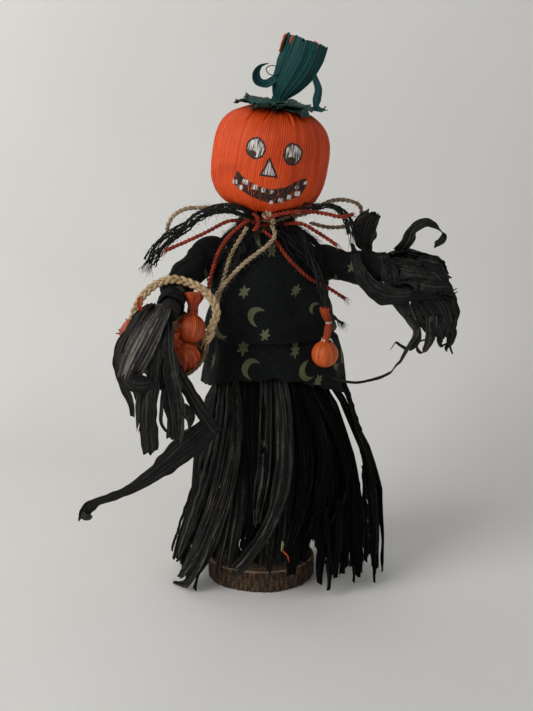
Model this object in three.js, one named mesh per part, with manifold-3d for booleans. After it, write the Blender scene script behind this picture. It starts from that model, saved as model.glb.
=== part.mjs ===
// Scarecrow doll with a pumpkin head, in millimetres. Its front faces -Y and +Z is up.
// The origin is the centre of the log slice's underside. Left and right are the viewer's.

import * as THREE from 'three';
import { mergeVertices } from 'three/addons/utils/BufferGeometryUtils.js';
import Module from 'manifold-3d';

const wasm = await Module();
wasm.setup();

// Driving dimensions

// Gaps
const clearance = 0.3;
const easyGap = 0.5;
const armholeGap = 1;

// Log slice
const baseHalfWidth = 34.5;
const baseHalfDepth = 27;
const baseThickness = 15;
const barkThickness = 2.2;
const baseWobble = 0.012;

// Dowel, a little right of the slice's middle
const bodyX = 4;
const postRadius = 4;
const postDepth = 10;
const postBelowHeadCentre = 6;

// Waist, where the skirt is bound on
const waistTop = 157;
const waistBottom = 149;
const waistCoreRadius = 16.5;
const stripThickness = 1.4;
const bindingThickness = 1.6;
const bindingHeight = 3;

// Neck
const neckRadius = 8.6;
const neckBottom = 231.5;
const neckTop = 237.2;
const neckBindingThickness = 3.2;

// Cloth
const clothThickness = 1.4;
const hemFoldDepth = 1.5;
const hemFoldCount = 7;
const hemFront = 144;
const hemBack = 132;
const hemLeft = 136;
const hemRight = 127;
const waistFoldHeight = 160;

// Head
const headX = 6;
const headLift = 0.8;
const headHalfWidth = 33.7;
const headHalfDepth = 32;
const headHalfHeight = 30;
const headTilt = THREE.MathUtils.degToRad(9);
const headSquareness = 0.8;
const headHuskThickness = 1.3;
const headOpeningRadius = 11;
const headCoreGap = 0.8;
const headCentre = new THREE.Vector3(headX, 0, neckTop + headLift + headHalfHeight);
const postTop = headCentre.z - postBelowHeadCentre;

// Leaves and stem on the head
const crownRadius = 21;
const crownRaggedness = 2;
const crownThickness = 1.1;
const crownDroop = 1.2;
const crownHole = 4;
const stemHeight = 36.2;
const stemWall = 1;
const stemLift = 0.6;

// Arms
const shoulderBall = 11.5;
const shoulderLeft = new THREE.Vector3(-29.5, 0, 212);
const shoulderRight = new THREE.Vector3(38.5, 0, 207);
const rightArmLength = 34.5;
const rightHandLength = 36.6;
const wireRadius = 1;
const wireReach = 11.2;
const leftWristRadius = 8.2;
const rightCuffRadius = 12.4;

// Basket
const basketPivot = new THREE.Vector3(-50, -38, 193);
const basketTilt = THREE.MathUtils.degToRad(50);
const basketDrop = 24.5;
const bowlRadius = 22;
const bowlDepth = 11;
const bowlWall = 1.8;
const handleRadius = 2.7;
const pumpkinRadius = 8.3;
const smallPumpkinRadius = 7.6;
const bowlCentre = basketPivot.clone().add(new THREE.Vector3(-1.6, -4, -basketDrop));

// Hanging husk ball
const pendantX = 38;
const pendantY = -31.5;
const pendantTop = 187.8;
const pendantWrapLength = 9.2;
const pendantWrapRadius = 3.5;
const pendantNeckRadius = 2.1;
const pendantNeckLength = 11.5;
const pendantBallRadius = 7.8;

// Yarn and twine
const juteRadius = 1.3;
const orangeRadius = 1.2;
const blackBundleRadius = 2.6;
const blackHangRadius = 1.9;

// Husk leaves
const leafThickness = 1.3;

const doll = new THREE.Group();

// Finishes
const finishes = {
  wood: [0x9c7f5c, 0.85],
  bark: [0x4a3a30, 0.95],
  dowel: [0xc8a878, 0.7],
  rawHusk: [0xb9a67c, 0.85],
  foam: [0xe8e6de, 0.9],
  orangeHusk: [0xd4501c, 0.6],
  tealHusk: [0x12564f, 0.65],
  liningHusk: [0xc6451f, 0.65],
  blackHusk: [0x232425, 0.75],
  cloth: [0x16191b, 0.9],
  blackYarn: [0x1d1f20, 0.95],
  jute: [0xa88d62, 0.95],
  orangeYarn: [0xa8452a, 0.9],
  braid: [0xc0a878, 0.8],
  bowl: [0x6b5230, 0.8],
  wire: [0x8a8a88, 0.4],
};

function addPiece(name, geometry, finish, group = doll) {
  const [color, roughness] = finishes[finish];
  const metalness = finish === 'wire' ? 0.9 : 0;
  const material = new THREE.MeshStandardMaterial({ color, roughness, metalness });
  const mesh = new THREE.Mesh(geometry, material);
  mesh.name = name;
  group.add(mesh);
  return mesh;
}

// Geometry helpers

function signedVolume(position, index) {
  const [a, b, c] = [new THREE.Vector3(), new THREE.Vector3(), new THREE.Vector3()];
  let volume = 0;
  for (let i = 0; i < index.length; i += 3) {
    a.fromBufferAttribute(position, index[i]);
    b.fromBufferAttribute(position, index[i + 1]);
    c.fromBufferAttribute(position, index[i + 2]);
    volume += a.dot(b.cross(c)) / 6;
  }
  return volume;
}

// Welds shared vertices, drops triangles without area and turns the faces out.
function closedGeometry(geometry) {
  const bare = geometry.clone();
  bare.deleteAttribute('normal');
  bare.deleteAttribute('uv');
  const welded = mergeVertices(bare, 1e-3);
  const old = welded.index.array;
  const index = [];
  for (let i = 0; i < old.length; i += 3) {
    const [a, b, c] = [old[i], old[i + 1], old[i + 2]];
    if (a !== b && b !== c && c !== a) {
      index.push(a, b, c);
    }
  }
  if (signedVolume(welded.attributes.position, index) < 0) {
    for (let i = 0; i < index.length; i += 3) {
      [index[i + 1], index[i + 2]] = [index[i + 2], index[i + 1]];
    }
  }
  const closed = new THREE.BufferGeometry();
  closed.setAttribute('position', welded.attributes.position);
  closed.setIndex(index);
  return closed;
}

function solidOf(geometry) {
  const closed = closedGeometry(geometry);
  const vertProperties = new Float32Array(closed.attributes.position.array);
  const triVerts = new Uint32Array(closed.index.array);
  return new wasm.Manifold(new wasm.Mesh({ numProp: 3, vertProperties, triVerts }));
}

function geometryOf(solid) {
  const mesh = solid.getMesh();
  const geometry = new THREE.BufferGeometry();
  geometry.setAttribute('position', new THREE.BufferAttribute(mesh.vertProperties, 3));
  geometry.setIndex(new THREE.BufferAttribute(mesh.triVerts, 1));
  return geometry;
}

function cutBy(geometry, ...tools) {
  const solid = tools.reduce((left, tool) => left.subtract(solidOf(tool)), solidOf(geometry));
  return geometryOf(solid);
}

function joined(...geometries) {
  const [first, ...rest] = geometries.map(solidOf);
  return geometryOf(rest.reduce((sum, next) => sum.add(next), first));
}

function smoothCurve(route) {
  const points = route.map((p) => (p.isVector3 ? p : new THREE.Vector3(...p)));
  return new THREE.CatmullRomCurve3(points, false, 'centripetal');
}

function valueAlong(values, t) {
  const place = THREE.MathUtils.clamp(t, 0, 1) * (values.length - 1);
  const low = Math.min(Math.floor(place), values.length - 2);
  return THREE.MathUtils.lerp(values[low], values[low + 1], place - low);
}

function vectorAlong(vectors, t) {
  const [x, y, z] = [0, 1, 2].map((axis) => valueAlong(vectors.map((v) => v[axis]), t));
  return new THREE.Vector3(x, y, z);
}

// A lathe of rows, whose points place() then sets: layer 2 is the outside, 1 the inside, 0 the axis.
function ringSolid(rows, segments, hollow, place) {
  const profile = [];
  const last = rows - 1;
  if (!hollow) {
    profile.push(new THREE.Vector2(0, 0));
  }
  for (let row = 0; row <= last; row += 1) {
    profile.push(new THREE.Vector2(2, row));
  }
  for (let row = last; hollow && row >= 0; row -= 1) {
    profile.push(new THREE.Vector2(1, row));
  }
  profile.push(hollow ? new THREE.Vector2(2, 0) : new THREE.Vector2(0, last));
  const geometry = new THREE.LatheGeometry(profile, segments);
  const position = geometry.attributes.position;
  for (let i = 0; i < position.count; i += 1) {
    const [x, row, z] = [position.getX(i), Math.round(position.getY(i)), position.getZ(i)];
    const layer = Math.round(Math.hypot(x, z));
    const point = place(layer === 0 ? 0 : Math.atan2(x, z), row, layer);
    position.setXYZ(i, point.x, point.y, point.z);
  }
  return closedGeometry(geometry);
}

// A thin box, bent: u runs across it, v along it from 0 to 1 and w through it.
function bentBox(across, along, place) {
  const geometry = new THREE.BoxGeometry(1, 1, 1, across, along, 1);
  const position = geometry.attributes.position;
  for (let i = 0; i < position.count; i += 1) {
    const point = place(position.getX(i), 0.5 - position.getY(i), position.getZ(i));
    position.setXYZ(i, point.x, point.y, point.z);
  }
  return closedGeometry(geometry);
}

// The point at an angle round a curve's section. The hint is the way that 'deep' points.
function sectionPoint(curve, t, angle, across, deep, hint) {
  const along = curve.getTangentAt(t);
  const side = new THREE.Vector3().crossVectors(hint, along).normalize();
  const front = new THREE.Vector3().crossVectors(along, side);
  return curve.getPointAt(t)
    .addScaledVector(side, across * Math.sin(angle))
    .addScaledVector(front, deep * Math.cos(angle));
}

const up = new THREE.Vector3(0, 0, 1);
const back = new THREE.Vector3(0, 1, 0);

// A leaf of husk along a route: its hints give the way across it, at each point of the route.
function huskLeaf({
  route, hints, widths, thickness = leafThickness, flutes = 1, fluteDepth = 0.5, steps = 10,
}) {
  const curve = smoothCurve(route);
  return bentBox(4 * flutes, steps, (u, v, w) => {
    const along = curve.getTangent(v);
    const side = vectorAlong(hints, v);
    side.addScaledVector(along, -side.dot(along)).normalize();
    const normal = new THREE.Vector3().crossVectors(along, side);
    const lift = w * thickness + fluteDepth * Math.cos(2 * Math.PI * flutes * u);
    return curve.getPoint(v)
      .addScaledVector(side, u * valueAlong(widths, v))
      .addScaledVector(normal, lift);
  });
}

// A plain tube for a cord, with a step every 2.2 diameters.
function cordTube(route, radius) {
  const section = new THREE.Shape().absarc(0, 0, radius, 0, 2 * Math.PI, false);
  const curve = smoothCurve(route);
  const steps = Math.max(6, Math.round(curve.getLength() / (4.4 * radius)));
  const settings = { extrudePath: curve, steps, curveSegments: 4, bevelEnabled: false };
  return closedGeometry(new THREE.ExtrudeGeometry(section, settings));
}

function uprightCylinder(radius, bottom, top, x, segments = 20) {
  const geometry = new THREE.CylinderGeometry(radius, radius, top - bottom, segments);
  return geometry.rotateX(Math.PI / 2).translate(x, 0, (top + bottom) / 2);
}

function ball(centre, radius, across = 20) {
  return new THREE.SphereGeometry(radius, across, across / 2).translate(centre.x, centre.y, centre.z);
}

// Levels give half-widths about the dowel's line: left, right, front and back.
function halfWidthsAt(levels, z) {
  const first = levels[0];
  const last = levels[levels.length - 1];
  if (z >= first.z) {
    return first;
  }
  if (z <= last.z) {
    return last;
  }
  const next = levels.findIndex((level) => level.z <= z);
  const [above, below] = [levels[next - 1], levels[next]];
  const share = (above.z - z) / (above.z - below.z);
  const mix = (side) => THREE.MathUtils.lerp(above[side], below[side], share);
  return { left: mix('left'), right: mix('right'), front: mix('front'), back: mix('back') };
}

// The point at an angle round the body: 0 is the front, and a positive angle is to the right.
function bodyPoint(levels, angle, levelZ, outward, z = levelZ) {
  const half = halfWidthsAt(levels, levelZ);
  const across = (Math.sin(angle) < 0 ? half.left : half.right) + outward;
  const deep = (Math.cos(angle) < 0 ? half.back : half.front) + outward;
  return new THREE.Vector3(bodyX + across * Math.sin(angle), -deep * Math.cos(angle), z);
}

function level(z, left, right, front, back) {
  return { z, left, right, front, back };
}

// Base

const baseRows = [
  { z: baseThickness, inset: 0.8 },
  { z: baseThickness - 1.2, inset: 0 },
  { z: 1.2, inset: 0 },
  { z: 0, inset: 1 },
];

function basePoint(angle, z, inset) {
  const wobble = 1 + baseWobble * Math.sin(2 * angle + 0.6) + baseWobble * 0.8 * Math.sin(5 * angle);
  const x = (baseHalfWidth * wobble - inset) * Math.sin(angle);
  return new THREE.Vector3(x, -(baseHalfDepth * wobble - inset) * Math.cos(angle), z);
}

function makeBase() {
  const bark = ringSolid(baseRows.length, 32, true, (angle, row, layer) => {
    const inset = layer === 2 ? baseRows[row].inset : barkThickness;
    return basePoint(angle, baseRows[row].z, inset);
  });
  addPiece('base_bark', bark, 'bark');
  const woodInset = barkThickness + clearance;
  const wood = ringSolid(2, 32, false, (angle, row, layer) => {
    const z = row === 0 ? baseThickness : 0;
    return layer === 0 ? new THREE.Vector3(0, 0, z) : basePoint(angle, z, woodInset);
  });
  const holeBottom = baseThickness - postDepth - clearance;
  const hole = uprightCylinder(postRadius + clearance, holeBottom, baseThickness + 1, bodyX);
  addPiece('base_wood', cutBy(wood, hole), 'wood');
  addPiece('centre_post', closedGeometry(
    uprightCylinder(postRadius, baseThickness - postDepth, postTop, bodyX, 16),
  ), 'dowel');
}

// Body

const coreLevels = [
  level(neckTop, neckRadius, neckRadius, neckRadius, neckRadius),
  level(neckBottom - 1, neckRadius, neckRadius, neckRadius, neckRadius),
  level(226, 11, 11, 9.5, 9.5),
  level(217, 19, 20, 13, 13),
  level(205, 24, 25, 16, 16),
  level(185, 22, 23, 17, 17),
  level(167, 19, 19, 17, 17),
  level(waistTop + 1, waistCoreRadius, waistCoreRadius, waistCoreRadius, waistCoreRadius),
  level(waistBottom - 1, waistCoreRadius, waistCoreRadius, waistCoreRadius, waistCoreRadius),
];

const postBack = new THREE.Vector3(bodyX, postRadius + wireRadius + 2 * clearance, 211);

// The way from a shoulder to the wire behind the dowel
function inward(side) {
  return postBack.clone().sub(side.route[0]).normalize();
}

const leftArm = {
  route: [
    shoulderLeft,
    new THREE.Vector3(-35.6, -5, 208.6),
    new THREE.Vector3(-42.4, -15, 203),
    new THREE.Vector3(-48.3, -27, 196.8),
    basketPivot,
    new THREE.Vector3(-50, -49, 190),
    new THREE.Vector3(-50, -55, 188.5),
  ],
  radii: [9.4, 9.7, 9.6, 9, 8.4, leftWristRadius, leftWristRadius],
  cuff: 68.4,
  rollPast: 7,
  rollTaper: 1.2,
};

const rightArm = {
  route: [
    [0, 0, 0],
    [0.275, -0.087, -0.029],
    [0.623, -0.174, -0.064],
    [1, -0.275, -0.101],
  ].map((share) => new THREE.Vector3(...share).multiplyScalar(rightArmLength).add(shoulderRight)),
  radii: [9.5, 9.4, 10.6, rightCuffRadius],
  cuff: 46.5,
  rollPast: 1.5,
  rollTaper: 0.6,
};

for (const side of [leftArm, rightArm]) {
  const start = side.route[0].clone().addScaledVector(inward(side), wireReach);
  side.curve = smoothCurve([start, ...side.route]);
  side.length = side.curve.getLength();
}

// The sleeve's outer radius at a distance from the wire's inner end: a ball, then a slow taper.
function sleeveRadius(side, distance) {
  const fromPivot = distance - wireReach;
  if (fromPivot <= 0) {
    return Math.sqrt(shoulderBall ** 2 - fromPivot ** 2);
  }
  const limb = valueAlong(side.radii, fromPivot / (side.cuff - wireReach));
  return Math.min(limb, Math.sqrt(Math.max(shoulderBall ** 2 - fromPivot ** 2, limb ** 2)));
}

function armPoint(side, distance, angle, radius) {
  const t = THREE.MathUtils.clamp(distance / side.length, 0, 1);
  return sectionPoint(side.curve, t, angle, radius, radius, up);
}

function stationsBetween(from, to, step) {
  const count = Math.max(1, Math.round((to - from) / step));
  return Array.from({ length: count + 1 }, (_, i) => from + ((to - from) * i) / count);
}

function makeArm(side, suffix, group) {
  const sleeveStart = wireReach - shoulderBall * 0.72;
  const domeStations = stationsBetween(sleeveStart, wireReach, 4.2);
  const limbStations = stationsBetween(wireReach, side.cuff, 8).slice(1);
  const stations = [...domeStations, ...limbStations];
  const sleeve = ringSolid(stations.length, 16, true, (angle, row, layer) => {
    const radius = sleeveRadius(side, stations[row]) - (layer === 2 ? 0 : clothThickness);
    return armPoint(side, stations[row], angle, radius);
  });
  addPiece(`sleeve_${suffix}`, sleeve, 'cloth', group);

  const rollEnd = side.cuff + side.rollPast;
  const rollStations = [...stations.map((d) => Math.max(d, sleeveStart)), rollEnd];
  const rollInset = clothThickness + easyGap;
  const roll = ringSolid(rollStations.length, 12, true, (angle, row, layer) => {
    const taper = row === rollStations.length - 1 ? side.rollTaper : 0;
    const outside = sleeveRadius(side, Math.min(rollStations[row], side.cuff)) - rollInset - taper;
    return armPoint(side, rollStations[row], angle, layer === 2 ? outside : wireRadius + clearance);
  });
  addPiece(`arm_roll_${suffix}`, roll, 'rawHusk', group);

  const wireStations = [0, ...rollStations.slice(0, -1), rollEnd - 2];
  const wire = ringSolid(wireStations.length, 8, false, (angle, row, layer) => {
    return armPoint(side, wireStations[row], angle, layer === 0 ? 0 : wireRadius);
  });
  addPiece(`arm_wire_${suffix}`, wire, 'wire', group);
}

function makeBody() {
  const rows = coreLevels.map((row) => row.z);
  const core = ringSolid(rows.length, 16, false, (angle, row, layer) => {
    const middle = new THREE.Vector3(bodyX, 0, rows[row]);
    return layer === 0 ? middle : bodyPoint(coreLevels, angle, rows[row], 0);
  });
  const socketRadius = shoulderBall + armholeGap;
  const wireEnds = [leftArm, rightArm].map((side) => {
    return side.route[0].clone().addScaledVector(inward(side), socketRadius + clearance);
  });
  const wireRoute = smoothCurve([wireEnds[0], postBack, wireEnds[1]]);
  const wireRows = 9;
  const wireTube = (radius) => ringSolid(wireRows, 8, false, (angle, row, layer) => {
    return sectionPoint(wireRoute, row / (wireRows - 1), angle, layer === 0 ? 0 : radius,
      layer === 0 ? 0 : radius, up);
  });
  addPiece('shoulder_wire', wireTube(wireRadius), 'wire');
  addPiece('body_core', cutBy(
    core,
    uprightCylinder(postRadius + clearance, waistBottom - 5, neckTop + 5, bodyX),
    ball(shoulderLeft, socketRadius),
    ball(shoulderRight, socketRadius),
    wireTube(wireRadius + clearance),
  ), 'rawHusk');

  const bindingInner = neckRadius + clearance;
  const bindingZ = [neckTop - 0.4, neckTop - 1.6, neckBottom + 1.8, neckBottom + 0.6];
  const bindingBulge = [0.6, 1, 1, 0.6];
  addPiece('neck_binding', ringSolid(4, 18, true, (angle, row, layer) => {
    const radius = bindingInner + (layer === 2 ? neckBindingThickness * bindingBulge[row] : 0);
    return new THREE.Vector3(bodyX + radius * Math.sin(angle), -radius * Math.cos(angle), bindingZ[row]);
  }), 'blackYarn');
}

// Tunic

const tunicLevels = [
  level(neckBottom, 10.4, 10.4, 10.4, 10.4),
  level(228, 15, 15, 12.5, 12.5),
  level(222, 23, 24, 16, 15.5),
  level(213, 30, 33, 20, 19),
  level(202, 34, 37, 23.5, 21),
  level(188, 35, 39, 26.5, 23),
  level(176, 36.2, 41.5, 28.8, 25),
  level(168, 36.5, 43, 29.5, 26),
  level(163.5, 33.8, 41, 26.5, 24),
  level(waistFoldHeight, 35, 43.5, 28.5, 26),
  level(152, 37.5, 47.5, 31.5, 29),
  level(138, 41, 51, 35, 33),
];

function hemAt(angle) {
  const ends = Math.cos(angle) < 0 ? hemBack : hemFront;
  const sides = Math.sin(angle) < 0 ? hemLeft : hemRight;
  return ends * Math.cos(angle) ** 2 + sides * Math.sin(angle) ** 2;
}

function tunicPoint(angle, row, inward) {
  const { z } = tunicLevels[row];
  const lowest = tunicLevels[tunicLevels.length - 1].z;
  const drop = Math.max(0, (waistFoldHeight - z) / (waistFoldHeight - lowest));
  const realZ = z > waistFoldHeight ? z : waistFoldHeight - drop * (waistFoldHeight - hemAt(angle));
  const fullness = Math.min(1, Math.max(0, (222 - z) / 84));
  const fold = hemFoldDepth * fullness * Math.sin(hemFoldCount * angle + 0.8);
  return bodyPoint(tunicLevels, angle, z, fold - inward, realZ);
}

function makeTunic() {
  const shell = ringSolid(tunicLevels.length, 30, true, (angle, row, layer) => {
    return tunicPoint(angle, row, layer === 2 ? 0 : clothThickness);
  });
  const armhole = shoulderBall + armholeGap;
  addPiece('tunic', cutBy(shell, ball(shoulderLeft, armhole), ball(shoulderRight, armhole)), 'cloth');
}

// Skirt

const stripInner = waistCoreRadius + clearance;
const stripMiddle = stripInner + stripThickness / 2;
const skirtLevels = [
  level(waistTop, stripMiddle, stripMiddle, stripMiddle, stripMiddle),
  level(waistBottom, stripMiddle, stripMiddle, stripMiddle, stripMiddle),
  level(139, 28, 35, 25, 25),
  level(122, 36.5, 47.5, 30, 29.5),
  level(90, 43, 62, 34, 33),
  level(60, 45.6, 71, 36, 35),
  level(30, 54, 73, 38, 37),
  level(2, 61, 74, 40, 38),
];

// Each strip's edges at the waist and at its lower end, in degrees from the front, and its end's height
const skirtStrips = [
  { top: [-106, -72], end: [-98, -76], foot: 10 },
  { top: [-70, -36], end: [-73, -44], foot: 2.5 },
  { top: [-34, 0], end: [-40, -12], foot: 20 },
  { top: [2, 36], end: [-8, 18], foot: 19 },
  { top: [38, 70], end: [22, 54], foot: 6 },
  { top: [74, 108], end: [62, 100], foot: 2 },
  { top: [126, 150], end: [124, 154], foot: 4 },
  { top: [152, 184], end: [157, 187], foot: 3 },
  { top: [186, 218], end: [190, 222], foot: 4 },
  { top: [220, 252], end: [225, 259], foot: 3 },
];

function makeSkirt() {
  const flutes = 2;
  const fluteDepth = 1.5;
  const rows = 7;
  const waistRows = 2;
  skirtStrips.forEach((strip, i) => {
    const geometry = bentBox(6, rows, (u, v, w) => {
      const row = v * rows;
      const z = row <= waistRows
        ? THREE.MathUtils.lerp(waistTop, waistBottom, row / waistRows)
        : THREE.MathUtils.lerp(waistBottom, strip.foot, ((row - waistRows) / (rows - waistRows)) ** 1.2);
      const spread = THREE.MathUtils.clamp((waistBottom - z) / waistBottom, 0, 1);
      const low = THREE.MathUtils.lerp(strip.top[0], strip.end[0], spread);
      const high = THREE.MathUtils.lerp(strip.top[1], strip.end[1], spread);
      const angle = THREE.MathUtils.degToRad(THREE.MathUtils.lerp(low, high, u + 0.5));
      const wave = fluteDepth * Math.min(1, 2.5 * spread) * Math.cos(2 * Math.PI * flutes * u + i);
      return bodyPoint(skirtLevels, angle, z, w * stripThickness + wave);
    });
    addPiece(`skirt_strip_${i + 1}`, geometry, 'blackHusk');
  });
  const inner = stripInner + stripThickness + clearance;
  const middle = (waistTop + waistBottom) / 2;
  const bulge = [0.6, 1, 0.6];
  addPiece('waist_tie', ringSolid(3, 26, true, (angle, row, layer) => {
    const radius = inner + (layer === 2 ? bindingThickness * bulge[row] : 0);
    const z = middle + bindingHeight * (0.5 - row / 2);
    return new THREE.Vector3(bodyX + radius * Math.sin(angle), -radius * Math.cos(angle), z);
  }), 'jute');
}

// Head, in a group tilted to the right

function headPoint(angle, polar, inward) {
  const flat = Math.sin(polar) ** headSquareness;
  const rise = Math.sign(Math.cos(polar)) * Math.abs(Math.cos(polar)) ** headSquareness;
  return new THREE.Vector3(
    (headHalfWidth - inward) * flat * Math.sin(angle),
    -(headHalfDepth - inward) * flat * Math.cos(angle),
    (headHalfHeight - inward) * rise,
  );
}

function makeHead() {
  const head = new THREE.Group();
  head.position.copy(headCentre);
  head.rotation.y = headTilt;
  doll.add(head);

  const opening = Math.PI - Math.asin((headOpeningRadius / headHalfWidth) ** (1 / headSquareness));
  const rows = 10;
  const husk = ringSolid(rows, 24, true, (angle, row, layer) => {
    const polar = THREE.MathUtils.lerp(0.08, opening, row / (rows - 1));
    return headPoint(angle, polar, layer === 2 ? 0 : headHuskThickness);
  });
  addPiece('head_husk', husk, 'orangeHusk', head);

  const inset = headHuskThickness + headCoreGap;
  const coreRows = 10;
  const foam = ringSolid(coreRows, 18, false, (angle, row, layer) => {
    const polar = THREE.MathUtils.lerp(0.08, Math.PI - 0.08, row / (coreRows - 1));
    const point = headPoint(angle, polar, inset);
    if (layer === 0) {
      point.set(0, 0, point.z);
    }
    return point.applyAxisAngle(back, headTilt).add(headCentre);
  });
  const bore = uprightCylinder(postRadius + clearance, 200, postTop + clearance, bodyX);
  addPiece('head_core', cutBy(foam, bore), 'foam');

  const crownBase = headHalfHeight + clearance;
  const crownRows = [crownHole, 11, 1, 0].length;
  const crown = ringSolid(crownRows, 32, true, (angle, row, layer) => {
    const ragged = crownRaggedness * (Math.sin(9 * angle) + 0.7 * Math.sin(5 * angle + 1));
    const share = row / (crownRows - 1);
    const radius = THREE.MathUtils.lerp(crownHole, crownRadius + ragged, share);
    const z = crownBase - crownDroop * (radius / crownRadius) ** 2 + (layer === 2 ? crownThickness : 0);
    return new THREE.Vector3(radius * Math.sin(angle), -radius * Math.cos(angle), z);
  });
  addPiece('leaf_crown', crown, 'tealHusk', head);
}

// Stem: a flattened tube of husk that opens upward, with a lining in it

const stemFoot = new THREE.Vector3(0, 0, headHalfHeight + clearance + crownThickness)
  .applyAxisAngle(back, headTilt)
  .add(headCentre)
  .add(new THREE.Vector3(0, 0, stemLift));

// A place given in stem heights from the stem's foot
function stemPoint([x, y, z]) {
  return new THREE.Vector3(x, y, z).multiplyScalar(stemHeight).add(stemFoot);
}

const stemRoute = smoothCurve([
  [0, 0, 0],
  [0.02, 0, 0.105],
  [0.1, 0, 0.271],
  [0.255, 0, 0.525],
  [0.377, 0, 0.768],
  [0.46, 0, 1],
].map(stemPoint));
const stemAcross = [5.2, 4.3, 8.2, 11.4, 12.2, 11.8];
const stemDeep = [4.4, 3.8, 5, 5.4, 5.4, 5.2];

function makeStem() {
  const rows = 8;
  const wallPoint = (t, angle, inward) => sectionPoint(
    stemRoute, t, angle, valueAlong(stemAcross, t) - inward, valueAlong(stemDeep, t) - inward, back,
  );
  addPiece('stem_husk', ringSolid(rows, 16, true, (angle, row, layer) => {
    return wallPoint(row / (rows - 1), angle, layer === 2 ? 0 : stemWall);
  }), 'tealHusk');
  const liningBottom = 0.3;
  const liningTop = 0.985;
  addPiece('stem_lining', ringSolid(5, 16, false, (angle, row, layer) => {
    const t = THREE.MathUtils.lerp(liningBottom, liningTop, row / 4);
    return layer === 0 ? stemRoute.getPointAt(t) : wallPoint(t, angle, stemWall + easyGap);
  }), 'liningHusk');
  const curlHints = [[0, 1, 0], [0, 1, 0]];
  addPiece('stem_curl_left', huskLeaf({
    route: [
      [-0.042, -0.028, 0.398], [-0.191, -0.041, 0.315], [-0.324, -0.055, 0.356], [-0.357, -0.055, 0.467],
      [-0.288, -0.055, 0.586], [-0.152, -0.055, 0.624],
    ].map(stemPoint),
    hints: curlHints,
    widths: [4.5, 4, 3.5, 3, 2.5, 1.6],
    fluteDepth: 0,
    steps: 9,
  }), 'tealHusk');
  addPiece('stem_curl_right', huskLeaf({
    route: [
      [0.572, -0.028, 0.425], [0.638, -0.041, 0.232], [0.61, -0.055, 0.066], [0.605, -0.055, -0.033],
      [0.682, -0.055, -0.083], [0.765, -0.055, -0.028],
    ].map(stemPoint),
    hints: curlHints,
    widths: [4, 4, 3.5, 3, 3, 1.6],
    fluteDepth: 0,
    steps: 9,
  }), 'tealHusk');
}

// Neck ties

function neckRing(tubeRadius, z) {
  const ringRadius = neckRadius + neckBindingThickness + 2 * clearance + tubeRadius;
  return new THREE.TorusGeometry(ringRadius, tubeRadius, 6, 22).translate(bodyX, 0, z);
}

function knot(centre, radii) {
  return new THREE.SphereGeometry(1, 10, 7).scale(...radii).translate(...centre);
}

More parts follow.
